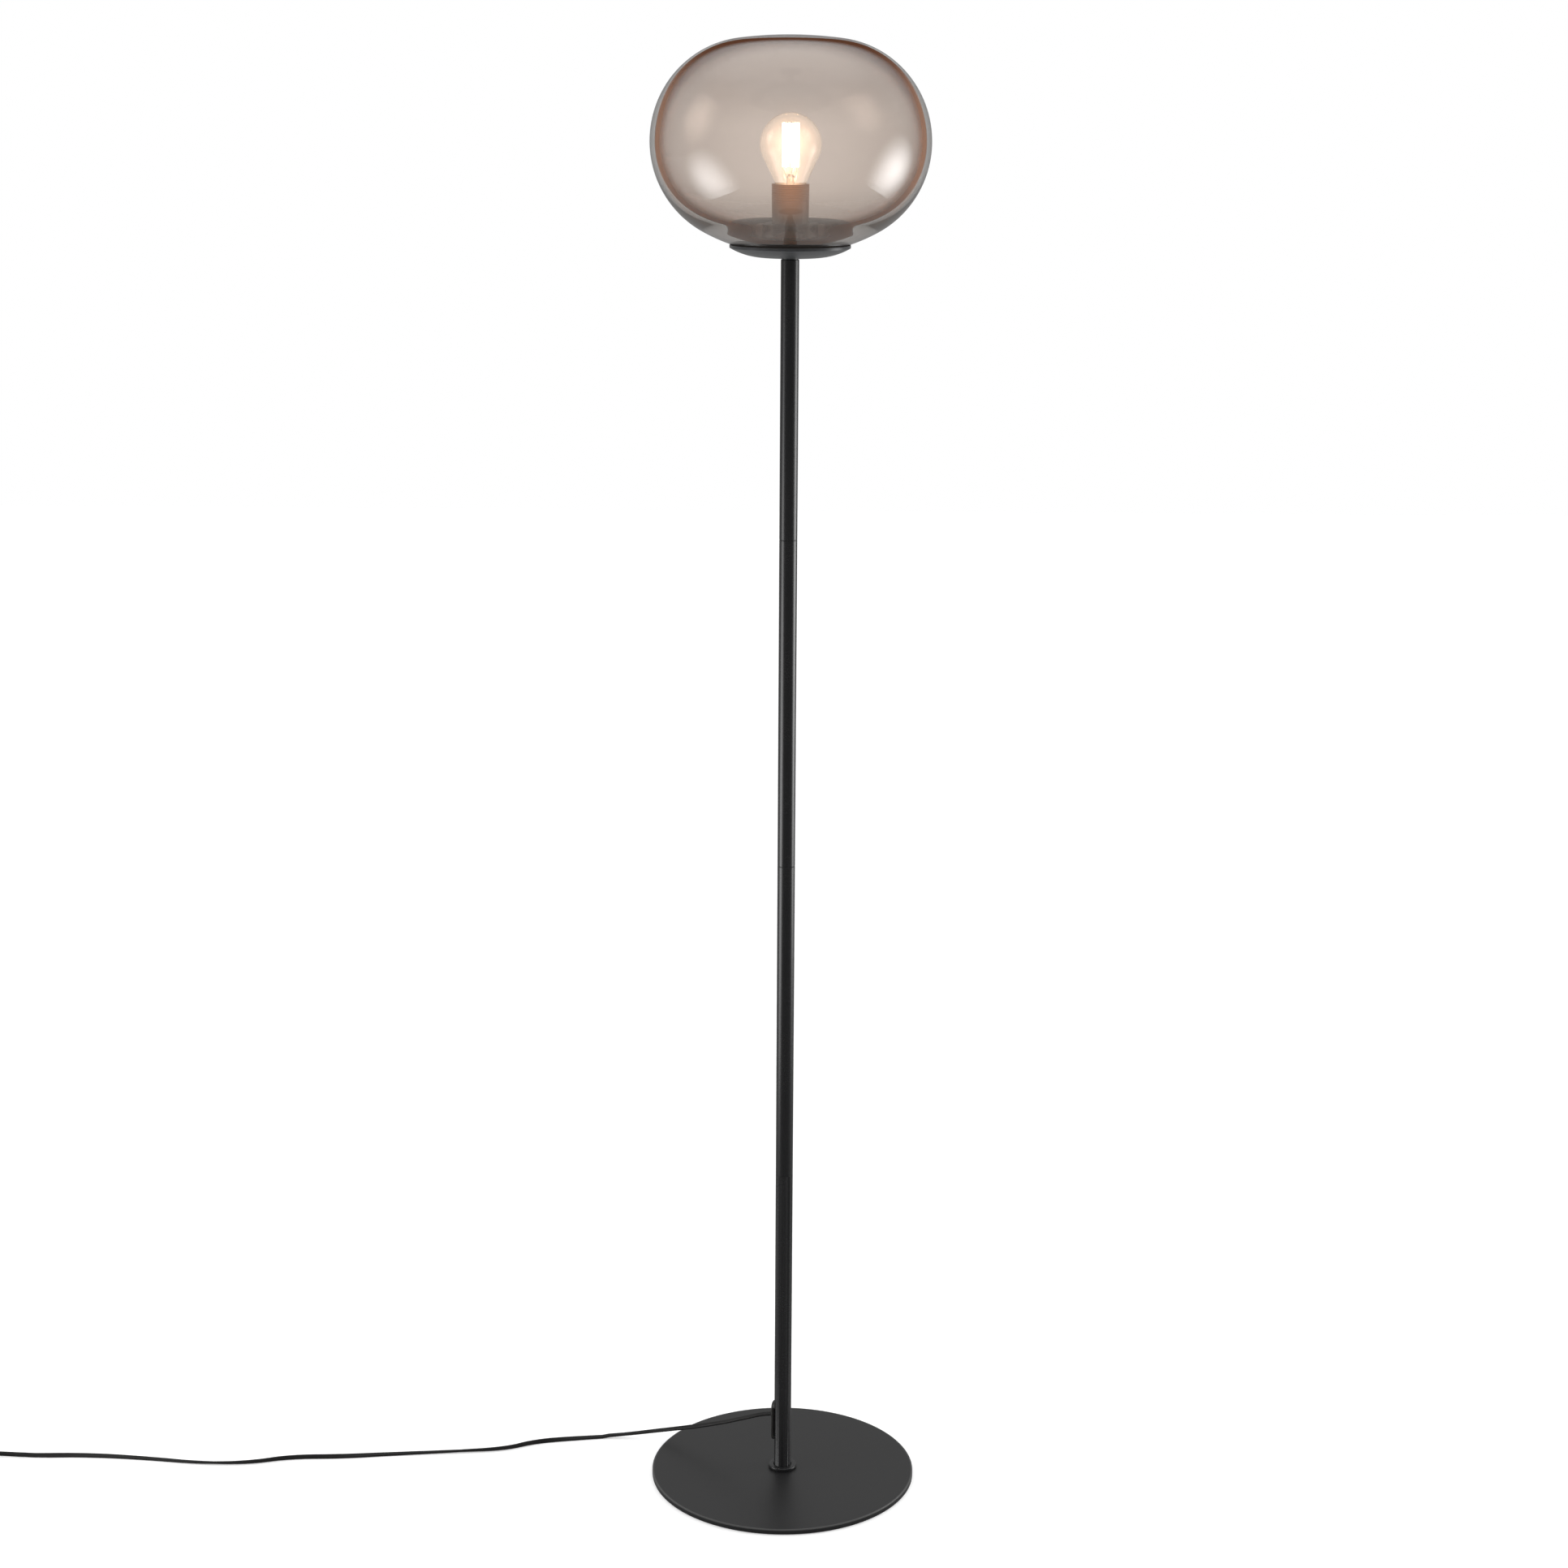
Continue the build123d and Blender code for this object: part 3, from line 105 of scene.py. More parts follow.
def colour(name, description, default):
    return FloatVectorProperty(
        name=name, description=description, default=default, subtype="COLOR", size=3, min=0, max=1
    )


class LampSizes(bpy.types.PropertyGroup):
    """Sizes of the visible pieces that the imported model's boxes don't give."""

    pole_groove: length("Pole groove", "Chamfer at each tube end", 0.4 * MM)
    pole_wall: length("Pole wall", "Thickness of the tubes' wall", 1.2 * MM)
    base_edge: length("Base edge", "Bright chamfer round the base", 0.5 * MM)
    collar_round: length("Collar rounding", "Rounding of the collar's rim", 1.3 * MM)
    dish_wall: length("Dish wall", "Thickness of the dish", 1.2 * MM)
    dish_band: length("Dish band", "Height of the dish's upright rim", 2.8 * MM)
    dish_flat: length("Dish flat", "Radius of the dish's flat floor", 25 * MM)
    globe_up: length("Globe crown", "Widest level of the glass to its top", 100.3 * MM)
    globe_down: length("Globe depth", "Widest level to where the bottom would close", 106.4 * MM)
    glass_side: length("Glass at the side", "Wall at the widest level", 5.1 * MM)
    glass_top: length("Glass at the top", "Wall at the top", 2.2 * MM)
    glass_bottom: length("Glass at the bottom", "Wall at the bottom", 8 * MM)
    globe_hole: length("Globe hole", "Radius of the hole for the lampholder", 21 * MM)
    threads: IntProperty(name="Threads", description="Ridges on the barrel", default=6)
    cord_wide: length("Cord width", "Width of the twin cord", 5.1 * MM)
    cord_thick: length("Cord thickness", "Thickness of the twin cord", 2.9 * MM)


class LampColours(bpy.types.PropertyGroup):
    """Colours and finishes of the visible pieces."""

    paint: colour("Paint", "Satin black of the pole and the base", (0.014, 0.014, 0.0145))
    gloss: colour("Gloss", "Glossy black of the dish", (0.042, 0.043, 0.045))
    plastic: colour("Plastic", "Moulded plastic", (0.022, 0.021, 0.02))
    smoke: colour("Smoke", "What the glass itself lets through", (0.35, 0.33, 0.31))
    smoke_depth: FloatProperty(name="Smoke depth", description="Absorption per metre", default=108)
    lining: colour("Lining", "What the globe's smoked inner face lets through", (0.93, 0.8, 0.72))
    # Colour of the brown sheet painted where the glass is seen edge on, standing in for the light
    # mirrored inside the glass.
    painted_lining_edge: colour("Lining's edge", "The same, seen edge on", (0.36, 0.16, 0.08))
    # Strength of the glow painted on the lining, standing in for lamplight on it.
    painted_lamplight_level: FloatProperty(name="Veil", description="Lamplight on the lining", default=0.3)
    glow: colour("Glow", "Light of the filaments", (1.0, 0.72, 0.42))
    glow_level: FloatProperty(name="Glow level", description="Filaments' strength", default=14)
    # Strength of the glow painted into the bulb's glass, standing in for the rods' light in it.
    painted_haze_level: FloatProperty(name="Haze level", description="Bulb glass's own glow", default=0.36)


class StageSettings(bpy.types.PropertyGroup):
    """The camera, the lamps and the floor."""

    focal: FloatProperty(name="Focal length", description="In millimetres", default=65.76)
    height: length("Camera height", "Height of the camera over the floor", 1.4626)
    back: length("Camera distance", "Distance of the camera from the pole", 2.822)
    tilt: FloatProperty(
        name="Tilt", description="How far the camera looks down", default=radians(13.908),
        subtype="ANGLE",
    )
    roll: FloatProperty(
        name="Roll", description="Turn about the line of sight", default=radians(0.352),
        subtype="ANGLE",
    )
    pan: FloatProperty(
        name="Pan", description="Turn to the side", default=radians(-0.0565), subtype="ANGLE"
    )
    floor: colour("Floor", "Colour of the floor", (0.86, 0.86, 0.86))
    lift: share("Floor's lift", "Added to the floor where the camera sees it", 0.36)
    room_front: share("Room in front", "What glossy pieces reflect from the camera's side", 0.1)
    room_back: share("Room behind", "What glossy pieces reflect from behind the lamp", 0.5)
    room_low: share("Room low", "The same near the floor's level", 0.28)
    room_over: share("Room above", "What glossy pieces reflect from overhead", 0.9)


# ---------------------------------------------------------------- materials
class Value:
    """A shader value. Sums, products and powers of it add Math nodes to its node tree."""

    def __init__(self, nodes, socket):
        self.nodes = nodes
        self.socket = socket

    def work(self, operation, first, second=0.0):
        made = self.nodes.node("ShaderNodeMath", {"operation": operation}, {0: first, 1: second})
        return Value(self.nodes, made.outputs[0])

    def __add__(self, other):
        return self.work("ADD", self, other)

    def __radd__(self, other):
        return self.work("ADD", other, self)

    def __sub__(self, other):
        return self.work("SUBTRACT", self, other)

    def __rsub__(self, other):
        return self.work("SUBTRACT", other, self)

    def __mul__(self, other):
        return self.work("MULTIPLY", self, other)

    def __rmul__(self, other):
        return self.work("MULTIPLY", other, self)

    def __pow__(self, other):
        return self.work("POWER", self, other)

    def over(self, other):
        """The larger of this and another value."""
        return self.work("MAXIMUM", self, other)

    def wave(self):
        """The sine of this value."""
        return self.work("SINE", self)

    def steps(self, first, last, start=0.0, end=1.0):
        """A smooth change from the start to the end while this value goes from first to last."""
        span = {"From Min": first, "From Max": last, "To Min": start, "To Max": end}
        made = self.nodes.node(
            "ShaderNodeMapRange", {"interpolation_type": "SMOOTHSTEP"}, {"Value": self, **span}
        )
        return Value(self.nodes, made.outputs["Result"])


class NodeTree:
    """The nodes of a material, of the world or of a lamp, while they are being made."""

    def __init__(self, tree):
        self.tree = tree
        self.tree.nodes.clear()

    def node(self, kind, settings=None, inputs=None):
        """Adds a node, with its settings first and then its sockets' values or links."""
        made = self.tree.nodes.new(kind)
        for name, setting in (settings or {}).items():
            setattr(made, name, setting)
        for name, given in (inputs or {}).items():
            socket = made.inputs[name]
            given = given.socket if isinstance(given, Value) else given
            if isinstance(given, bpy.types.NodeSocket):
                self.tree.links.new(given, socket)
            elif socket.type == "RGBA":
                socket.default_value = (*given, 1.0)
            else:
                socket.default_value = given
        return made

    def parts(self, vector):
        """The three parts of a vector, as values."""
        made = self.node("ShaderNodeSeparateXYZ", {}, {0: vector})
        return [Value(self, output) for output in made.outputs]

    def ray(self, kind):
        """1 for a ray of this kind and 0 for others."""
        return Value(self, self.node("ShaderNodeLightPath").outputs[f"Is {kind} Ray"])


class Finish(NodeTree):
    """A material that is being made."""

    def __init__(self, name):
        self.material = bpy.data.materials.new(name)
        self.material.use_nodes = True
        super().__init__(self.material.node_tree)
        self.place = self.node("ShaderNodeTexCoord").outputs["Object"]

    def noise(self, scale, detail=2.0, rough=0.5, stretch=None):
        """Soft random values round a half, of a scale per metre."""
        place = self.place
        if stretch:
            mapped = self.node("ShaderNodeMapping", {}, {"Vector": place, "Scale": stretch})
            place = mapped.outputs[0]
        made = self.node(
            "ShaderNodeTexNoise",
            {},
            {"Vector": place, "Scale": scale, "Detail": detail, "Roughness": rough},
        )
        return Value(self, made.outputs["Fac"])

    def blend(self, factor, one, other):
        """A colour between two, by a value."""
        made = self.node(
            "ShaderNodeMix", {"data_type": "RGBA"}, {"Factor": factor, 6: one, 7: other}
        )
        return made.outputs[2]

    def mix(self, factor, one, other):
        """A shader between two, by a value."""
        shaders = {1: one.outputs[0], 2: other.outputs[0]}
        return self.node("ShaderNodeMixShader", {}, {0: factor, **shaders})

    def facing(self):
        """0 where the surface faces the eye and 1 where it is seen edge on."""
        made = self.node("ShaderNodeLayerWeight", {}, {"Blend": 0.5})
        return Value(self, made.outputs["Facing"])

    def round_pole(self):
        """The distance from the pole's axis and the height over the floor."""
        x, y, z = self.parts(self.place)
        return (x**2.0 + y**2.0) ** 0.5, z

    def bump(self, height, distance, strength=0.5):
        made = self.node(
            "ShaderNodeBump", {}, {"Height": height, "Distance": distance, "Strength": strength}
        )
        return made.outputs[0]

    def surface(self, inputs):
        """The Principled shader with these sockets."""
        return self.node("ShaderNodeBsdfPrincipled", {}, inputs)

    def done(self, shader, volume=None):
        made = self.node("ShaderNodeOutputMaterial", {}, {"Surface": shader.outputs[0]})
        if volume:
            self.tree.links.new(volume.outputs[0], made.inputs["Volume"])
        return self.material

    def solid(self, inputs):
        """The finished material of an opaque piece."""
        return self.done(self.surface(inputs))

    def see_through(self, shader, shade, volume=None):
        """The finished material of a glass. The lamps' light passes through it, tinted, so that
        it shades only lightly."""
        clear = self.node("ShaderNodeBsdfTransparent", {}, {0: shade})
        return self.done(self.mix(self.ray("Shadow"), shader, clear), volume)


WHITE = (1.0, 1.0, 1.0)
BLACK = (0.0, 0.0, 0.0)
LINED = "lined"  # 1 on the inner face of a glass
GLASS_INDEX = 1.5
# How much a face inside the glass is seen edge on where it starts to mirror all light.
CRITICAL_FACING = 0.2546
GLOBE_MIDDLE = (low("glass_globe") + top("glass_globe")) / 2
THREAD_PITCH = 2 * MM  # of the faint bands in the painted glow round the holder's barrel
finishes = {}


def lighter(tone, by):
    """A colour that is so many times as light."""
    return tuple(min(1.0, part * by) for part in tone)


def powder_coat():
    """Satin black powder coat, with a cloudy tone and fine orange peel."""
    tone = bpy.context.scene.lamp_colours.paint
    made = Finish("powder_coat")
    cloud = made.noise(18, 3)
    grain = made.noise(1500)
    peel = made.noise(420)
    return made.solid(
        {
            "Base Color": made.blend(cloud, lighter(tone, 0.85), lighter(tone, 1.2)),
            "Roughness": 0.21 + 0.06 * cloud + 0.05 * grain,
            "Normal": made.bump(peel * 0.7 + grain * 0.3, 0.06 * MM),
        }
    )


def base_coat():
    """The matt coat of the base plate, a little dusty, with a pale highlight painted along its
    upper edge.
    """
    tone = bpy.context.scene.lamp_colours.paint
    made = Finish("base_coat")
    cloud = made.noise(9, 4)
    grain = made.noise(1500)
    dust = made.noise(700, 3).steps(0.62, 0.75)
    radius, height = made.round_pole()
    line = 0.8 * MM  # of fully painted highlight, inwards and downwards from the edge
    rim, level = reach("base_plate") - line, top("base_plate") - line
    # Painted highlight: a pale line along the plate's upper edge, where its chamfer catches the
    # light.
    painted_edge_highlight = radius.steps(rim - 1.4 * MM, rim) * height.steps(level - 0.8 * MM, level)
    coat = made.blend(cloud, lighter(tone, 0.5), lighter(tone, 0.95))
    coat = made.blend(painted_edge_highlight * 0.8, coat, (0.075, 0.075, 0.074))
    return made.solid(
        {
            "Base Color": made.blend(dust * 0.04, coat, (0.2, 0.2, 0.2)),
            "Roughness": 0.33 + 0.07 * cloud + 0.05 * grain,
            "Normal": made.bump(grain, 0.05 * MM),
        }
    )


def gloss_black():
    """The dish's glossy black enamel."""
    tone = bpy.context.scene.lamp_colours.gloss
    made = Finish("gloss_black")
    cloud = made.noise(30)
    peel = made.noise(260)
    return made.solid(
        {
            "Base Color": made.blend(cloud, tone, lighter(tone, 1.4)),
            "Roughness": 0.26 + 0.06 * cloud,
            "Coat Weight": 0.1 + 0.05 * cloud,
            "Coat Roughness": 0.12,
            "Normal": made.bump(peel, 0.02 * MM, 0.4),
        }
    )


def moulded(name, tone, rough, spark=900):
    """A moulded piece: a fine sparked grain and flow marks."""
    made = Finish(name)
    grain = made.noise(spark, 3)
    flow = made.noise(60, stretch=(1, 1, 0.3))
    return made.solid(
        {
            "Base Color": made.blend(flow, lighter(tone, 0.85), lighter(tone, 1.25)),
            "Roughness": rough - 0.05 + 0.1 * grain + 0.05 * flow,
            "Normal": made.bump(grain, 0.05 * MM, 0.6),
        }
    )


def dark_plastic():
    return moulded("dark_plastic", bpy.context.scene.lamp_colours.plastic, 0.36)


def holder_plastic_painted_glow():
    """The lampholder's brown-black plastic, with a painted glow that stands in for the bulb's
    light through it from above.
    """
    made = Finish("holder_plastic_painted_glow")
    grain = made.noise(700)
    flow = made.noise(50, stretch=(1, 1, 0.25))
    height = made.parts(made.place)[2]
    # Painted light: the glow grows up the barrel, with a painted highlight down its middle and
    # faint bands along the thread.
    lit = height.steps(low("holder_cap") + 12 * MM, top("holder_barrel"))
    core = (1.0 - made.facing()) ** 3.0
    thread = (height * (2 * pi / THREAD_PITCH)).wave().steps(-0.2, 0.9)
    glow = lit * (0.3 + 0.7 * core) * (0.72 + 0.28 * thread)
    return made.solid(
        {
            "Base Color": made.blend(flow, (0.03, 0.02, 0.014), (0.045, 0.03, 0.02)),
            "Roughness": 0.3 + 0.08 * grain + 0.05 * flow,
            "Emission Color": made.blend(glow, (0.015, 0.008, 0.005), (0.52, 0.17, 0.02)),
            "Emission Strength": 1.0,
            "Normal": made.bump(grain, 0.04 * MM),
        }
    )


def cord_sheath():
    """The cord's black sheath, with faint paler marks and a fine grain."""
    made = Finish("cord_sheath")
    grain = made.noise(1600)
    marks = made.noise(240)
    return made.solid(
        {
            "Base Color": made.blend(marks, (0.006, 0.0058, 0.0056), (0.013, 0.0125, 0.012)),
            "Roughness": 0.42 + 0.12 * marks + 0.05 * grain,
            "Specular IOR Level": 0.35,
            "Normal": made.bump(grain * 0.5 + marks * 0.5, 0.08 * MM),
        }
    )


def felt():
    """Black felt with loose clumps of fibre."""
    made = Finish("felt")
    fibres = made.noise(1800, 5, 0.8)
    clumps = made.noise(220, 3)
    return made.solid(
        {
            "Base Color": made.blend(clumps, (0.02, 0.02, 0.02), (0.06, 0.06, 0.06)),
            "Roughness": 0.92 + 0.06 * fibres,
            "Sheen Weight": 0.4,
            "Normal": made.bump(fibres * 0.7 + clumps * 0.3, 0.3 * MM, 0.8),
        }
    )


def metal(name, tone, rough, scale, along):
    """A worn metal with a fine grain, finer along the pole than across it."""
    made = Finish(name)
    grain = made.noise(scale, 3, stretch=(1, 1, along))
    stain = made.noise(70, 3)
    return made.solid(
        {
            "Base Color": made.blend(stain, lighter(tone, 0.82), tone),
            "Metallic": 1.0,
            "Roughness": rough + 0.12 * grain + 0.08 * stain,
            "Normal": made.bump(grain, 0.03 * MM),
        }
    )


def silicone():
    """Grey translucent silicone."""
    made = Finish("silicone")
    cloud = made.noise(120, 3)
    return made.solid(
        {
            "Base Color": made.blend(cloud, (0.1, 0.09, 0.085), (0.16, 0.15, 0.14)),
            "Roughness": 0.32 + 0.1 * cloud,
            "Normal": made.bump(cloud, 0.04 * MM, 0.4),
        }
    )


def smoked_glass():
    """Grey glass whose inner face has a brown smoked lining, with painted light and shade where it
    is seen edge on: a brown sheet, a dark one over the dish, a brown ring seen from outside, and a
    painted glow of lamplight.
    """
    tone = bpy.context.scene.lamp_colours
    made = Finish("smoked_glass")
    streak = made.noise(14, stretch=(1, 1, 3))
    lined = Value(made, made.node("ShaderNodeAttribute", {"attribute_name": LINED}).outputs["Fac"])
    inside = Value(made, made.node("ShaderNodeNewGeometry").outputs["Backfacing"])
    outside = 1.0 - inside
    facing = made.facing()
    radius, height = made.round_pole()
    # These give the place on the globe: up its crown, up its lower half and over the dish.
    crown = height.steps(GLOBE_MIDDLE + 10 * MM, top("glass_globe") - 4 * MM)
    rise = height.steps(low("glass_globe") + 20 * MM, GLOBE_MIDDLE)
    past_dish = radius.steps(reach("dish") - 1.5 * MM, reach("dish") + 0.5 * MM)
    upper_half = height.steps(GLOBE_MIDDLE - 10 * MM, GLOBE_MIDDLE)
    # Painted shade: the lower half over the dish gets a dark sheet, standing in for the dark dish
    # seen through the glass.
    painted_dish_shade = (1.0 - past_dish) * (1.0 - upper_half)
    lining = made.blend(streak, lighter(tone.lining, 0.985), tone.lining)
    # The lamplight on the lining is painted as a pale glow, which is weaker higher up.
    painted_lamplight = (1.0 - facing) ** 2.0 * (0.95 - 0.85 * crown - 0.5 * rise) * lined
    glass = made.surface(
        {
            "Base Color": made.blend(lined, WHITE, lining),
            "Roughness": 0.004,
            "Transmission Weight": 1.0,
            "IOR": GLASS_INDEX,
            "Emission Color": made.blend(painted_lamplight, BLACK, (1.0, 0.89, 0.8)),
            "Emission Strength": tone.painted_lamplight_level,
        }
    )
    # Painted light and shade: where the glass is seen edge on, a thin brown sheet is painted,
    # darker at the crown, standing in for the light mirrored inside the glass; over the dish a
    # dark one stands in for the dark dish seen through it.
    painted_crown_edge, painted_dish_shade_tone = (0.11, 0.036, 0.013), (0.062, 0.058, 0.062)
    painted_edge_tone = made.blend(crown, tone.painted_lining_edge, painted_crown_edge)
    painted_film = made.surface(
        {
            "Base Color": made.blend(painted_dish_shade, painted_edge_tone, painted_dish_shade_tone),
            "Roughness": 0.3,
            "Specular IOR Level": 0.0,
        }
    )
    # A ray inside the glass meets the painted sheet up to the critical angle, and is mirrored past
    # it.
    passed = 1.0 - facing.steps(CRITICAL_FACING, CRITICAL_FACING + 0.002)
    near = facing.steps(0.205, 0.25) * passed * (1.0 - 0.5 * crown) * inside
    far = facing.steps(0.45, 0.88) * outside
    # Share of the painted brown sheet where the glass is seen edge on.
    rim = (near + far) * (0.7 + 0.28 * crown) * (1.0 - painted_dish_shade)
    # From outside, a brown ring is painted within the outline, standing in for the lining seen
    # edge on through the glass, closer to the outline higher up.
    ring_starts, ring_full = 0.55 + 0.13 * crown, 0.68 + 0.1 * crown
    ring_fades, ring_ends = 0.715 + 0.135 * crown, 0.735 + 0.135 * crown
    ring = facing.steps(ring_starts, ring_full) * (1.0 - facing.steps(ring_fades, ring_ends))
    ring = ring * (0.35 + 0.6 * crown) * rise * outside * (1.0 - lined)
    # How much of the painted sheets shows: along the edge, over the dish and in the ring.
    painted_share = (rim + 0.8 * painted_dish_shade) * lined + ring
    depth = made.node(
        "ShaderNodeVolumeAbsorption", {}, {"Color": tone.smoke, "Density": tone.smoke_depth}
    )
    return made.see_through(made.mix(painted_share, glass, painted_film), (0.78, 0.74, 0.71), depth)


def bulb_glass():
    """The bulb's thin clear glass, with a warm glow painted into it that is strongest in front of
    the rods.
    """
    made = Finish("bulb_glass")
    cloud = made.noise(40)
    # Painted light: the glass glows most where it faces the eye, in front of the rods.
    middle = (1.0 - made.facing()) ** 4.0
    glass = made.surface(
        {
            "Base Color": made.blend(cloud, (1.0, 0.97, 0.93), WHITE),
            "Roughness": 0.03 + 0.02 * cloud,
            "Transmission Weight": 1.0,
            "IOR": GLASS_INDEX,
            "Emission Color": made.blend(middle, (0.02, 0.012, 0.006), (1.0, 0.76, 0.54)),
            "Emission Strength": bpy.context.scene.lamp_colours.painted_haze_level,
        }
    )
    return made.see_through(glass, (0.96, 0.93, 0.9))


def stem_glass():
    """The faintly yellow glass of the bulb's stem."""
    made = Finish("stem_glass")
    cloud = made.noise(90)
    glass = made.surface(
        {
            "Base Color": made.blend(cloud, (1.0, 0.95, 0.88), WHITE),
            "Roughness": 0.04 + 0.06 * cloud,
            "Transmission Weight": 1.0,
            "IOR": GLASS_INDEX,
        }
    )
    return made.see_through(glass, (0.95, 0.93, 0.9))


def filament():
    """The glowing rods' phosphor, in a slightly uneven warm light."""
    tone = bpy.context.scene.lamp_colours
    made = Finish("filament")
    grain = made.noise(900)
    return made.solid(
        {
            "Base Color": (0.9, 0.6, 0.25),
            "Roughness": 0.5,
            "Emission Color": made.blend(grain, tone.glow, lighter(tone.glow, 1.15)),
            "Emission Strength": tone.glow_level,
        }
    )


# Each metal's colour, roughness, grains per metre and how much finer they are along the pole.
METALS = {
    "zinc": ((0.62, 0.63, 0.64), 0.3, 600, 6),
    "brass": ((0.8, 0.58, 0.28), 0.24, 600, 5),
    "bright_steel": ((0.7, 0.7, 0.69), 0.22, 900, 4),
    "nickel": ((0.74, 0.72, 0.69), 0.16, 700, 3),
}
# Each moulded finish's colour, roughness and grains per metre.
MOULDED = {
    "ceramic": ((0.78, 0.76, 0.71), 0.3, 400),
    "black_glass": ((0.01, 0.01, 0.012), 0.12, 300),
    "wire_cover": ((0.2, 0.07, 0.03), 0.35, 900),
}
OTHERS = (
    powder_coat, base_coat, gloss_black, dark_plastic, holder_plastic_painted_glow, cord_sheath, felt,
    silicone, smoked_glass, bulb_glass, stem_glass, filament,
)
MAKERS = {maker.__name__: maker for maker in OTHERS}


def finish_of(name):
    """The material of that name, made the first time it is asked for."""
    if name not in finishes:
        if name in METALS:
            finishes[name] = metal(name, *METALS[name])
        elif name in MOULDED:
            finishes[name] = moulded(name, *MOULDED[name])
        else:
            finishes[name] = MAKERS[name]()
    return finishes[name]


# ---------------------------------------------------------------- modelling
def clear_selection():
    if bpy.context.object and bpy.context.object.mode != "OBJECT":
        bpy.ops.object.mode_set(mode="OBJECT")
    bpy.ops.object.select_all(action="DESELECT")


def only(piece):
    """Selects one piece and makes it the active one."""
    clear_selection()
    piece.select_set(True)
    bpy.context.view_layer.objects.active = piece


def settle(piece, name, finish, nodes, body="lamp", smooth=30):
    """Cleans, smooths and names a finished piece, puts its place in its mesh and ties it to the
    model."""
    only(piece)
    bpy.ops.object.transform_apply(location=True, rotation=True, scale=True)
    bpy.ops.object.mode_set(mode="EDIT")
    bpy.ops.mesh.select_all(action="SELECT")
    bpy.ops.mesh.remove_doubles(threshold=MERGE)
    bpy.ops.mesh.normals_make_consistent(inside=False)
    bpy.ops.object.mode_set(mode="OBJECT")
    bpy.ops.object.shade_smooth_by_angle(angle=radians(smooth))
    piece.name = piece.data.name = name
    piece.data.materials.clear()
    piece.data.materials.append(finish_of(finish))
    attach(piece, body)
    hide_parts(*nodes)
    return piece


def select_open_edges(mesh):
    """Selects only the edges round a mesh's openings."""
    for part in [*mesh.verts, *mesh.edges, *mesh.faces]:
        part.select_set(False)
    for edge in mesh.edges:
        if edge.is_boundary:
            edge.select_set(True)


def turned(outline, sides=96):
    """A piece turned about the pole's axis: a ring at the outline's first point, extruded from
    point to point. An end on the axis is closed there, and an outline that ends where it
    starts makes a closed ring."""
    points = [Vector(point) for point in outline]
    capped = points[0].x < ON_AXIS
    start = points[1] if capped else points[0]
    clear_selection()
    bpy.ops.mesh.primitive_circle_add(
        vertices=sides,
        radius=start.x,
        fill_type="TRIFAN" if capped else "NOTHING",
        location=(0, 0, start.y),
    )
    piece = bpy.context.object
    bpy.ops.object.transform_apply(location=True, rotation=False, scale=False)
    bpy.ops.object.mode_set(mode="EDIT")
    if capped:
        mesh = bmesh.from_edit_mesh(piece.data)
        middle = min(mesh.verts, key=lambda vert: hypot(vert.co.x, vert.co.y))
        middle.co.z = points[0].y
        select_open_edges(mesh)
        bmesh.update_edit_mesh(piece.data)
        points = points[1:]
    else:
        bpy.ops.mesh.select_all(action="SELECT")
    for before, after in zip(points, points[1:]):
        bpy.ops.mesh.extrude_region_move(
            TRANSFORM_OT_translate={"value": (0, 0, after.y - before.y)}
        )
        if after.x < ON_AXIS:
            bpy.ops.mesh.merge(type="CENTER")
            break
        ratio = after.x / before.x
        bpy.ops.transform.resize(value=(ratio, ratio, 1), center_override=(0, 0, after.y))
    bpy.ops.object.mode_set(mode="OBJECT")
    return piece


def jar(outside, inside, sides):
    """A thin-walled vessel, open below: one outline down its outside and up its inside is
    turned. Both are given from the rim to the axis."""
    piece = turned([*reversed(outside), *inside], sides)
    # The outside has one point on the axis, and a ring for each other point of its outline.
    outer_count = 1 + sides * (len(outside) - 1)
    mask = piece.data.attributes.new(LINED, "FLOAT", "POINT")
    counted = range(len(piece.data.vertices))
    mask.data.foreach_set("value", [float(number >= outer_count) for number in counted])
    return piece


def copied(node):
    """A merged copy of a CAD node, to be finished as a piece."""
    clear_selection()
    source = frame["nodes"][node]
    source.select_set(True)
    bpy.context.view_layer.objects.active = source
    bpy.ops.object.duplicate(linked=False)
    piece = bpy.context.object
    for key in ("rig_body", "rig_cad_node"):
        if key in piece:
            del piece[key]
    piece.parent = None
    piece.matrix_world = Matrix.Identity(4)
    bpy.ops.object.mode_set(mode="EDIT")
    bpy.ops.mesh.select_all(action="SELECT")
    bpy.ops.mesh.remove_doubles(threshold=MERGE)
    bpy.ops.mesh.dissolve_limited(angle_limit=radians(0.5))
    bpy.ops.object.mode_set(mode="OBJECT")
    return piece


def rounded(corners, radius, steps=4):
    """An outline whose corners between its two ends are rounded, as more points. A rounding
    takes less than half of each side of its corner."""
    points = [Vector(corners[0])]
    for before, here, after in zip(corners, corners[1:], corners[2:]):
        before, here, after = Vector(before), Vector(here), Vector(after)
        back = (before - here).normalized()
        ahead = (after - here).normalized()
        room = 0.45 * min((before - here).length, (after - here).length)
        cut = min(radius, room)
        for count in range(steps + 1):
            part = count / steps
            one, other = here + back * cut * (1 - part), here + ahead * cut * part
            points.append(one * (1 - part) + other * part)
    points.append(Vector(corners[-1]))
    return points


# ---------------------------------------------------------------- stage
FLOOR_SIZE = 14
LAMPS_AIM = Vector((0, 0, 1.3))
# Each lamp's name, place, width and height, and power in watts.
LAMPS = (
    ("lamp_left", (-1.5, -0.35, 0.4), (1.7, 2.2), 20),
    ("lamp_right", (2.0, 0.2, 0.62), (2.1, 2.4), 35),
)


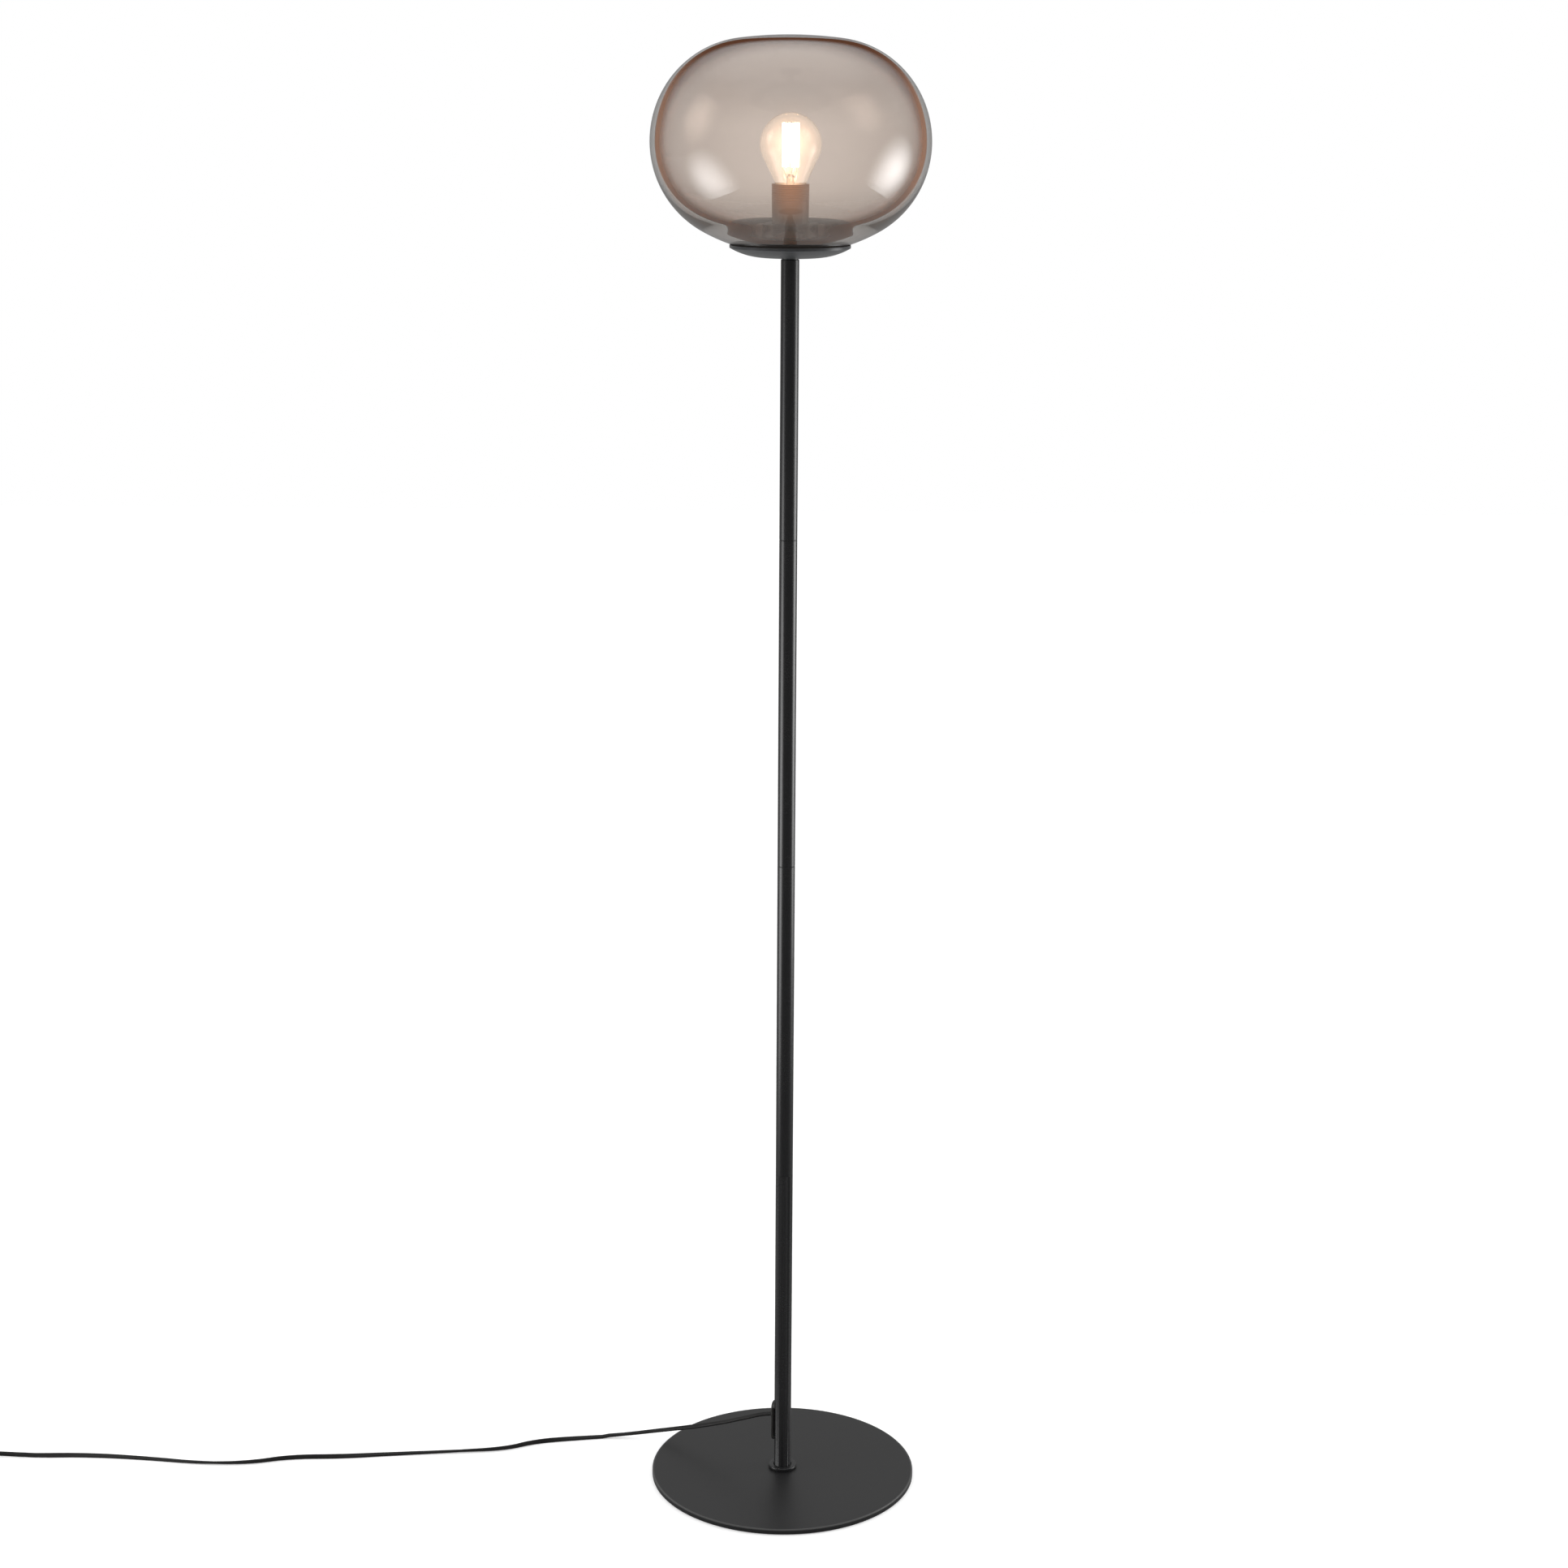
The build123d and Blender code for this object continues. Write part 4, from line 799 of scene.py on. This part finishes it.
class LAMP_OT_stage(bpy.types.Operator):
    """Makes the camera, the floor, the surroundings and the lamps"""

    bl_idname = "lamp.stage"
    bl_label = "Stage"

    def execute(self, context):
        rig = context.scene.lamp_stage
        context.scene.view_settings.view_transform = "Standard"
        self.camera(context, rig)
        self.floor(rig)
        self.sky(context, rig)
        for name, place, size, power in LAMPS:
            self.lamp(name, Vector(place), size, power)
        return {"FINISHED"}

    def camera(self, context, rig):
        clear_selection()
        bpy.ops.object.camera_add(location=(0, -rig.back, rig.height))
        camera = context.object
        camera.name = "camera"
        aim = (
            Matrix.Rotation(-rig.pan, 4, "Z")
            @ Matrix.Rotation(pi / 2 - rig.tilt, 4, "X")
            @ Matrix.Rotation(rig.roll, 4, "Z")
        )
        camera.rotation_euler = aim.to_euler()
        camera.data.sensor_width = 36
        camera.data.lens = rig.focal
        context.scene.camera = camera

    def floor(self, rig):
        """A pale floor: the camera and the glass see it lifted, and reflections show it dim."""
        clear_selection()
        bpy.ops.mesh.primitive_plane_add(size=FLOOR_SIZE, location=(0, 0, 0))
        floor = bpy.context.object
        floor.name = "floor"
        made = Finish("floor")
        cloud = made.noise(3, 3)
        depth = made.parts(made.place)[1]
        matt = made.surface(
            {
                "Base Color": made.blend(cloud, lighter(rig.floor, 0.99), rig.floor),
                "Roughness": 0.9,
            }
        )
        through = depth.steps(-0.6, 0.3) * made.ray("Transmission")
        seen = through.over(made.ray("Camera"))
        lift = made.node("ShaderNodeEmission", {}, {"Color": WHITE, "Strength": rig.lift})
        lifted = made.node("ShaderNodeAddShader", {}, {0: matt.outputs[0], 1: lift.outputs[0]})
        # A ray that the glass refracts is a glossy ray too, and it isn't a reflection.
        reflected = (made.ray("Glossy") - made.ray("Transmission")).over(0.0)
        level = depth.steps(-0.7, 0.2, rig.room_front, rig.room_low)
        dim = made.node("ShaderNodeEmission", {}, {"Color": WHITE, "Strength": level})
        shown = made.mix(seen, made.mix(reflected, matt, dim), lifted)
        floor.data.materials.append(made.done(shown))

    def sky(self, context, rig):
        """White to the camera. Glossy pieces reflect a room that is pale behind the lamp, dim in
        front and bright overhead. The glass, and the pieces' lighting, get less from in front."""
        world = bpy.data.worlds.new("surroundings")
        context.scene.world = world
        world.use_nodes = True
        made = NodeTree(world.node_tree)
        _, depth, height = made.parts(made.node("ShaderNodeTexCoord").outputs["Generated"])
        low_down = depth.steps(-0.3, 0.7, rig.room_front, rig.room_low)
        level_with = depth.steps(-0.3, 0.7, rig.room_front, rig.room_back)
        room = height.steps(0.12, 0.4, low_down, level_with)
        room = height.steps(0.65, 0.95, room, rig.room_over)
        lighting = depth.steps(-0.9, 0.1, 0.35, 1.0)
        through = depth.steps(-0.3, 0.2, 0.6, 1.0)
        level = made.ray("Diffuse").steps(0, 1, 1.0, lighting)
        level = made.ray("Glossy").steps(0, 1, level, room)
        level = made.ray("Transmission").steps(0, 1, level, through)
        backdrop = made.node("ShaderNodeBackground", {}, {"Color": WHITE, "Strength": level})
        made.node("ShaderNodeOutputWorld", {}, {"Surface": backdrop.outputs[0]})

    def lamp(self, name, place, size, power):
        """A soft box that is brightest in its middle and fades to nothing at its edges."""
        clear_selection()
        bpy.ops.object.light_add(type="AREA", location=place)
        lamp = bpy.context.object
        lamp.name = name
        lamp.data.shape = "RECTANGLE"
        lamp.data.size, lamp.data.size_y = size
        lamp.data.energy = power
        lamp.rotation_euler = (LAMPS_AIM - place).to_track_quat("-Z", "Y").to_euler()
        lamp.data.use_nodes = True
        made = NodeTree(lamp.data.node_tree)
        spot = made.node("ShaderNodeNewGeometry").outputs["Parametric"]
        middle = (0.5, 0.5, 0.0)
        aside = made.node("ShaderNodeVectorMath", {"operation": "DISTANCE"}, {0: spot, 1: middle})
        level = Value(made, aside.outputs["Value"]).steps(0.0, 0.5, 3.4, 0.0)
        light = made.node("ShaderNodeEmission", {}, {"Color": WHITE, "Strength": level})
        made.node("ShaderNodeOutputLight", {}, {"Surface": light.outputs[0]})


# ---------------------------------------------------------------- cord
PLATE_TURN = radians(20)  # the switch plate faces this far to the back of -X
OUT = Vector((-cos(PLATE_TURN), sin(PLATE_TURN), 0))
EXIT_OUT = 12.1 * MM
EXIT_UP = 65.6 * MM
EXIT = OUT * EXIT_OUT + Vector((0, 0, EXIT_UP))
FLOOR_Z = 0.0027  # the route's level where the cord lies on the floor
ON_FLOOR = FLOOR_Z + 0.2 * MM  # what is lower than this is laid on the floor
LEAST_Z = 1.6 * MM  # of the middle of a cord that lies on the floor
ON_EDGE = 450  # a whole turn and a quarter: the cord stands on its edge
CORD_SPAN = radians(115)  # how far each lobe of the section goes to either side
LOBE_POINTS = 9
# The cord's route in metres, and how far the flat cord is turned from lying flat, in degrees.
ROUTE = [
    ((-0.0212, 0.0077, 0.0634), 20),
    ((-0.0318, 0.0108, 0.0594), 20),
    ((-0.0455, 0.0172, 0.0528), 20),
    ((-0.066, 0.031, 0.0412), 25),
    ((-0.097, 0.051, 0.0262), 40),
    ((-0.134, 0.0675, 0.0134), 20),
    ((-0.178, 0.0775, FLOOR_Z), 0),
    ((-0.225, 0.070, FLOOR_Z), 30),
    ((-0.272, 0.0605, FLOOR_Z), 75),
    ((-0.303, 0.0425, FLOOR_Z), 110),
    ((-0.360, 0.0376, FLOOR_Z), 160),
    ((-0.424, 0.0308, FLOOR_Z), 190),
    ((-0.478, 0.0225, FLOOR_Z), 230),
    ((-0.535, 0.0205, FLOOR_Z), 270),
    ((-0.577, 0.0065, FLOOR_Z), 300),
    ((-0.630, 0.007, FLOOR_Z), 345),
    ((-0.690, 0.017, FLOOR_Z), 370),
    ((-0.755, 0.0225, FLOOR_Z), 400),
    ((-0.813, 0.0195, FLOOR_Z), 440),
    ((-0.8606, 0.0224, 0.0037), 450),
    ((-0.8946, 0.0224, 0.0037), 450),
]
COIL_MIDDLE = Vector((-0.900, -0.015, 0))
COIL_RADIUS = 0.0374
COIL_STEP = 0.0059  # between one turn and the next, and from layer to layer
COIL_LOW = 0.0037
COIL_HALF_TURNS = 6  # in the lower layer
HALF_TURN_POINTS = 8
TAIL = [
    (-0.9374, -0.0263, 0.0096),
    (-0.9374, -0.0389, 0.0096),
    (-0.9397, -0.0549, 0.0081),
    (-0.9420, -0.0689, 0.00685),
    (-0.9420, -0.0789, 0.00685),
]


def coil_points():
    """The coil's control points: half turns inwards in the lower layer, up a layer in the half
    turn where the spiral reverses, outwards in the upper layer, and a last quarter turn."""
    inwards = list(range(COIL_HALF_TURNS))
    outwards = inwards[-2:0:-1]
    points = []
    y, z, side = COIL_MIDDLE.y + COIL_RADIUS, COIL_LOW, -1
    for number, smaller in enumerate([*inwards, *outwards]):
        radius = COIL_RADIUS - COIL_STEP / 2 * smaller
        middle_y = y + side * radius
        rise = COIL_STEP if number == COIL_HALF_TURNS - 1 else 0
        for count in range(HALF_TURN_POINTS):
            angle = pi * count / HALF_TURN_POINTS
            x = COIL_MIDDLE.x + side * radius * sin(angle)
            level = z + rise * count / HALF_TURN_POINTS
            points.append((x, middle_y - side * radius * cos(angle), level))
        y += side * 2 * radius
        z += rise
        side = -side
    for count in range(HALF_TURN_POINTS // 2):
        angle = pi * count / HALF_TURN_POINTS
        x = COIL_MIDDLE.x - COIL_RADIUS * sin(angle)
        points.append((x, y - COIL_RADIUS + COIL_RADIUS * cos(angle), z))
    return points


def route_line(places):
    """The smooth line of a route, as points read from its NURBS curve."""
    curve = bpy.data.curves.new("route", "CURVE")
    curve.dimensions = "3D"
    spline = curve.splines.new("NURBS")
    spline.points.add(len(places) - 1)
    for point, place in zip(spline.points, places):
        point.co = (*place, 1.0)
    spline.order_u = 3
    spline.use_endpoint_u = True
    spline.resolution_u = 6
    holder = bpy.data.objects.new("route", curve)
    bpy.context.scene.collection.objects.link(holder)
    bpy.context.view_layer.update()
    shape = bpy.data.meshes.new_from_object(
        holder.evaluated_get(bpy.context.evaluated_depsgraph_get())
    )
    line = [vert.co.copy() for vert in shape.vertices]
    bpy.data.objects.remove(holder)
    bpy.data.meshes.remove(shape)
    return line


class LAMP_OT_cord(bpy.types.Operator):
    """Makes the flat twin mains cord, with its coil, its tie and its plug"""

    bl_idname = "lamp.cord"
    bl_label = "Mains cord"

    def execute(self, context):
        sizes = context.scene.lamp_sizes
        end = [(place, ON_EDGE) for place in (*coil_points()[1:], *TAIL)]
        route = [(tuple(EXIT), ROUTE[0][1]), *ROUTE, *end]
        line = route_line([place for place, _ in route])
        cord = self.tube(sizes, route, line)
        settle(
            cord, "twin_cord", "cord_sheath", ["mains_cord", "cord_coil", "cord_tail"],
            smooth=60,
        )
        tie = settle(copied("coil_tie"), "tie_band", "dark_plastic", ["coil_tie"])
        plug = settle(
            copied("plug_body"), "plug_moulding", "dark_plastic", ["plug_body"],
            smooth=40,
        )
        pins = settle(copied("plug_pins"), "plug_prongs", "nickel", ["plug_pins"])
        return {"FINISHED"}

    def section(self, sizes):
        """The outline of the two lobes, and how far each one's middle is from the cord's."""
        lobe = sizes.cord_thick / 2
        apart = sizes.cord_wide / 2 - lobe
        outline = []
        for side in (1, -1):
            for count in range(LOBE_POINTS):
                angle = CORD_SPAN * (2 * count / (LOBE_POINTS - 1) - 1)
                outline.append((side * (apart + lobe * cos(angle)), side * lobe * sin(angle)))
        return outline, lobe, apart

    def tube(self, sizes, route, line):
        """A two-lobed tube along the line, turned as the route says."""
        places = [Vector(place) for place, _ in route]
        turns = [turn for _, turn in route]
        section, lobe, apart = self.section(sizes)
        mesh = bmesh.new()
        rings = []
        nearest = 0
        for number, point in enumerate(line):
            before = line[max(number - 1, 0)]
            after = line[min(number + 1, len(line) - 1)]
            ahead = (after - before).normalized()
            # The nearest stretch of the route gives how far the cord is turned here.
            found = []
            for index in range(nearest, min(nearest + 3, len(places) - 1)):
                run = places[index + 1] - places[index]
                part = min(1, max(0, (point - places[index]).dot(run) / run.length_squared))
                found.append(((places[index] + run * part - point).length, index, part))
            _, nearest, part = min(found)
            turn = radians(turns[nearest] * (1 - part) + turns[nearest + 1] * part)
            flat = ahead.cross(Vector((0, 0, 1))).normalized()
            upright = flat.cross(ahead)
            one = flat * cos(turn) + upright * sin(turn)
            other = upright * cos(turn) - flat * sin(turn)
            # The cord rests on the floor however it is turned.
            place = Vector(point)
            if place.z < ON_FLOOR:
                place.z = max(abs(sin(turn)) * apart + lobe, LEAST_Z)
            rings.append([mesh.verts.new(place + one * x + other * y) for x, y in section])
        for ring, following in zip(rings, rings[1:]):
            for count in range(len(section)):
                beside = (count + 1) % len(section)
                mesh.faces.new(
                    (ring[count], ring[beside], following[beside], following[count])
                )
        mesh.faces.new(rings[0][::-1])
        mesh.faces.new(rings[-1])
        data = bpy.data.meshes.new("twin_cord")
        mesh.to_mesh(data)
        mesh.free()
        cord = bpy.data.objects.new("twin_cord", data)
        bpy.context.scene.collection.objects.link(cord)
        return cord


# ---------------------------------------------------------------- base and pole
class LAMP_OT_base(bpy.types.Operator):
    """Makes the base plate and the collar"""

    bl_idname = "lamp.base"
    bl_label = "Base"

    def execute(self, context):
        sizes = context.scene.lamp_sizes
        edge = sizes.base_edge
        outer, start, end = reach("base_plate"), low("base_plate"), top("base_plate")
        # The foot's screw goes through a bore with a countersink of 45 degrees below.
        bore, sink = 4.15 * MM, 8.1 * MM
        throat = (bore, start + sink - bore)
        outline = [
            throat,
            (bore, end),
            (outer - edge, end),
            (outer, end - edge),
            (outer, start),
            (sink, start),
            throat,
        ]
        settle(turned(outline, 256), "foot_plate", "base_coat", ["base_plate"])
        outer, start, end = reach("base_collar"), low("base_collar"), top("base_collar")
        inner = reach("pole_tube_1") + 0.15 * MM
        corners = [(inner, start), (inner, end), (outer, end), (outer, start), (inner, start)]
        settle(
            turned(rounded(corners, sizes.collar_round, 6), 128), "foot_collar", "powder_coat",
            ["base_collar"], smooth=50,
        )
        return {"FINISHED"}


class LAMP_OT_pole(bpy.types.Operator):
    """Makes the upper pole tubes, with the groove at each joint, and finishes the lowest one
    and the neck"""

    bl_idname = "lamp.pole"
    bl_label = "Pole"

    def execute(self, context):
        sizes = context.scene.lamp_sizes
        groove = sizes.pole_groove
        outer = reach("pole_tube_2")
        inner = outer - sizes.pole_wall
        for number in (2, 3, 4):
            node = f"pole_tube_{number}"
            start, end = low(node), top(node)
            outline = [
                (inner, start),
                (inner, end),
                (outer - groove, end),
                (outer, end - groove),
                (outer, start + groove),
                (outer - groove, start),
                (inner, start),
            ]
            settle(turned(outline), f"tube_{number}", "powder_coat", [node])
        for node, name in (("pole_tube_1", "tube_1"), ("neck_spacer", "neck")):
            settle(copied(node), name, "powder_coat", [node])
        return {"FINISHED"}


# ---------------------------------------------------------------- dish and globe
NIPPLE_HOLE = 5.15 * MM  # radius of the hole in the dish and in the lampholder's floor
# How round each quarter of the glass is: its side's arc as a share of the quarter's height.
OUTER_UP_ROUND = 0.976
OUTER_DOWN_ROUND = 0.905
INNER_UP_ROUND = 0.979
INNER_DOWN_ROUND = 0.862
GLOBE_STEPS = 48


def arc(middle, radius, start, stop, steps):
    """Points of an arc, its angles counted from the horizontal."""
    return [
        Vector((middle[0] + radius * cos(a), middle[1] + radius * sin(a)))
        for a in (start + (stop - start) * count / steps for count in range(steps + 1))
    ]


class LAMP_OT_dish(bpy.types.Operator):
    """Makes the shallow dish under the globe"""

    bl_idname = "lamp.dish"
    bl_label = "Dish"

    def execute(self, context):
        sizes = context.scene.lamp_sizes
        outer, bottom, rim = reach("dish"), low("dish"), top("dish")
        wall, flat = sizes.dish_wall, sizes.dish_flat
        steps = 28
        rise = rim - bottom - sizes.dish_band
        bowl = ((outer - flat) ** 2 + rise**2) / (2 * rise)
        end = atan2(outer - flat, bowl - rise)
        middle = (flat, bottom + bowl)
        # The inside ends a little over the foot of the rim, where it meets the rim's own wall.
        inside = bowl - wall
        inside_end = min(end, acos(max(-1, 1 - (rise + 0.5 * MM) / inside)))
        while flat + inside * sin(inside_end) > outer - wall:
            inside_end -= 0.001
        outline = [Vector((NIPPLE_HOLE, bottom))]
        outline += arc(middle, bowl, -pi / 2, -pi / 2 + end, steps)
        lip = [outline[-1], (outer, rim), (outer - wall, rim), (outer - wall, rim - 2 * MM)]
        outline += rounded(lip, 0.35 * MM)[1:]
        outline += arc(middle, inside, -pi / 2 + inside_end, -pi / 2, steps)
        outline += [Vector((NIPPLE_HOLE, bottom + wall)), Vector((NIPPLE_HOLE, bottom))]
        settle(
            turned(outline, 192), "gallery_dish", "gloss_black", ["dish"],
            smooth=40,
        )
        return {"FINISHED"}


def oval_quarter(half_wide, high, roundness, end_r=0):
    """Points of a quarter of a three-centre oval, from the widest level to a radius, as the
    radius and the height over the widest level."""
    side = roundness * high
    crown = ((half_wide - side) ** 2 + high**2 - side**2) / (2 * (high - side))
    meet = atan2(crown - high, half_wide - side)
    end = acos(min(1, end_r / crown))
    side_steps = round(GLOBE_STEPS * 0.62)
    points = arc((half_wide - side, 0), side, 0, meet, side_steps)
    points += arc((0, high - crown), crown, meet, end, GLOBE_STEPS - side_steps)[1:]
    return points


class LAMP_OT_globe(bpy.types.Operator):
    """Makes the smoked glass globe, its seals and the toothed ring"""

    bl_idname = "lamp.globe"
    bl_label = "Globe"

    def execute(self, context):
        sizes = context.scene.lamp_sizes
        outer = reach("glass_globe")
        inner = outer - sizes.glass_side
        up, down, hole = sizes.globe_up, sizes.globe_down, sizes.globe_hole
        outside = self.shell(
            oval_quarter(outer, up, OUTER_UP_ROUND),
            oval_quarter(outer, down, OUTER_DOWN_ROUND, hole),
            top("glass_globe") - up,
        )
        inside = self.shell(
            oval_quarter(inner, up - sizes.glass_top, INNER_UP_ROUND),
            oval_quarter(inner, down - sizes.glass_bottom, INNER_DOWN_ROUND, hole),
            top("glass_globe") - up,
        )
        settle(
            jar(outside, inside, 224), "globe", "smoked_glass", ["glass_globe"],
            smooth=50,
        )
        for node, name, finish, slot in (
            ("glass_gasket", "gasket", "silicone", "clear_silicone"),
            ("notched_washer", "washer", "silicone", "clear_silicone"),
            ("shade_ring", "toothed_ring", "dark_plastic", "dark_plastic"),
        ):
            settle(copied(node), name, finish, [node])
        return {"FINISHED"}

    def shell(self, upper, lower, widest):
        """The half outline of a face of the glass, from its hole to its top on the axis."""
        points = [(r, widest - z) for r, z in reversed(lower)]
        points += [(r, widest + z) for r, z in upper[1:]]
        points[-1] = (0.0, points[-1][1])
        return points


# ---------------------------------------------------------------- lampholder and bulb
class LAMP_OT_holder(bpy.types.Operator):
    """Makes the lampholder's cap and its ridged barrel"""

    bl_idname = "lamp.holder"
    bl_label = "Lampholder"

    def execute(self, context):
        sizes = context.scene.lamp_sizes
        outer, foot, seam = reach("holder_cap"), low("holder_cap"), top("holder_cap")
        inner, floor = outer - 1.9 * MM, foot + 3 * MM
        corners = [
            (NIPPLE_HOLE, foot),
            (outer, foot),
            (outer, seam),
            (inner, seam),
            (inner, floor),
            (NIPPLE_HOLE, floor),
            (NIPPLE_HOLE, foot),
        ]
        settle(
            turned(rounded(corners, 0.4 * MM, 3), 128), "holder_sleeve", "holder_plastic_painted_glow",
            ["holder_cap"], smooth=40,
        )
        # The barrel has a thin spigot down into the cap, ridges outside and a wider mouth.
        outer, start, rim = reach("holder_barrel"), low("holder_barrel"), top("holder_barrel")
        spigot, bore, mouth = inner - 0.05 * MM, 14.6 * MM, 15.6 * MM
        ledge = rim - 13 * MM
        chamfer = 0.4 * MM
        plain = 1.5 * MM  # of the barrel at each end of the ridges
        groove = 0.3 * MM
        pitch = (rim - seam - 2 * plain) / sizes.threads
        outline = [(bore, start), (spigot, start), (spigot, seam)]
        outline += [(outer - chamfer, seam), (outer, seam + chamfer)]
        for count in range(sizes.threads):
            middle = seam + plain + pitch * (count + 0.5)
            for part, depth in ((-0.3, 0), (-0.12, groove), (0.12, groove), (0.3, 0)):
                outline.append((outer - depth, middle + part * pitch))
        lip = [(outer, rim - 1 * MM), (outer, rim), (mouth, rim), (mouth, ledge)]
        outline += rounded(lip, 0.6 * MM)
        outline += [(bore, ledge), (bore, start)]
        settle(
            turned(outline, 128), "holder_ridged", "holder_plastic_painted_glow", ["holder_barrel"],
            smooth=35,
        )
        return {"FINISHED"}


class LAMP_OT_bulb(bpy.types.Operator):
    """Makes the bulb: glass, stem, cap and glowing rods"""

    bl_idname = "lamp.bulb"
    bl_label = "Bulb"

    def execute(self, context):
        wall = 0.8 * MM
        settle(
            jar(self.envelope(0), self.envelope(wall), 96), "bulb_envelope", "bulb_glass",
            ["bulb_glass"], smooth=50,
        )
        for node, finish, slot in (
            ("bulb_stem", "stem_glass", "clear_glass"),
            ("bulb_filaments", "filament", "filament"),
            ("bulb_cap", "nickel", "nickel"),
        ):
            settle(copied(node), node + "_made", finish, [node])
        return {"FINISHED"}

    def envelope(self, inset):
        """The half outline of the bulb's glass, from its foot in the cap to its top."""
        skirt = reach("bulb_cap") - 0.65 * MM - inset
        neck, neck_z = 15 * MM - inset, top("holder_barrel") + 0.5 * MM
        ball = reach("bulb_glass") - inset
        middle = top("bulb_glass") - reach("bulb_glass")
        # The neck's side meets the ball where it touches it.
        drop = neck_z - middle
        touch = atan2(drop, neck) + acos(ball / hypot(drop, neck))
        corners = [
            (skirt, low("bulb_glass")),
            (skirt, top("bulb_cap")),
            (neck, neck_z),
            (ball * cos(touch), middle + ball * sin(touch)),
        ]
        outline = rounded(corners, 4 * MM, 6)[:-1]
        outline += arc((0, middle), ball, touch, pi / 2, 40)
        outline[-1] = Vector((0, middle + ball))
        return outline


class LAMP_OT_switch(bpy.types.Operator):
    """Makes the switch plate, the rocker and the cord's bush"""

    bl_idname = "lamp.switch"
    bl_label = "Switch"

    def execute(self, context):
        for node, name, body in (
            ("switch_plate", "switch_cover", "lamp"),
            ("switch_rocker", "rocker_key", "rocker"),
            ("cord_bush", "cord_sleeve", "lamp"),
        ):
            settle(copied(node), name, "dark_plastic", [node], body=body)
        return {"FINISHED"}


class LAMP_OT_fittings(bpy.types.Operator):
    """Gives the fittings inside the pole and the lampholder their finishes"""

    bl_idname = "lamp.fittings"
    bl_label = "Inner fittings"

    def execute(self, context):
        by_slot = {
            "black_steel": "powder_coat",
            "gloss_black_dish": "gloss_black",
            "felt": "felt",
            "zinc_steel": "zinc",
            "smoked_glass": "smoked_glass",
            "clear_silicone": "silicone",
            "dark_plastic": "dark_plastic",
            "ceramic_core": "ceramic",
            "brass": "brass",
            "bright_steel": "bright_steel",
            "nickel": "nickel",
            "black_glass": "black_glass",
            "clear_glass": "stem_glass",
            "filament": "filament",
            "black_cord": "cord_sheath",
            "wire_cover": "wire_cover",
            "tie_plastic": "dark_plastic",
            "plug_plastic": "dark_plastic",
        }
        for part in frame["record"]["subparts"]:
            node = frame["nodes"][part["node"]]
            node.data.materials.clear()
            node.data.materials.append(finish_of(by_slot[part["material_slot"]]))
        return {"FINISHED"}


class LAMP_PT_panel(bpy.types.Panel):
    """Lists the steps that make the lamp"""

    bl_label = "Globe floor lamp"
    bl_space_type = "VIEW_3D"
    bl_region_type = "UI"
    bl_category = "Lamp"

    def draw(self, context):
        for step in STEPS:
            self.layout.operator(step.bl_idname)


STEPS = (
    LAMP_OT_stage,
    LAMP_OT_cord,
    LAMP_OT_fittings,
    LAMP_OT_base,
    LAMP_OT_pole,
    LAMP_OT_dish,
    LAMP_OT_globe,
    LAMP_OT_holder,
    LAMP_OT_bulb,
    LAMP_OT_switch,
)
GROUPS = (
    ("lamp_sizes", LampSizes),
    ("lamp_colours", LampColours),
    ("lamp_stage", StageSettings),
)


def register():
    for name, group in GROUPS:
        bpy.utils.register_class(group)
        setattr(bpy.types.Scene, name, bpy.props.PointerProperty(type=group))
    for step in (*STEPS, LAMP_PT_panel):
        bpy.utils.register_class(step)


def unregister():
    for step in reversed((*STEPS, LAMP_PT_panel)):
        bpy.utils.unregister_class(step)
    for name, group in reversed(GROUPS):
        delattr(bpy.types.Scene, name)
        bpy.utils.unregister_class(group)


def main():
    register()
    for step in STEPS:
        family, action = step.bl_idname.split(".")
        getattr(getattr(bpy.ops, family), action)()
    clear_selection()


if __name__ == "__main__":
    main()
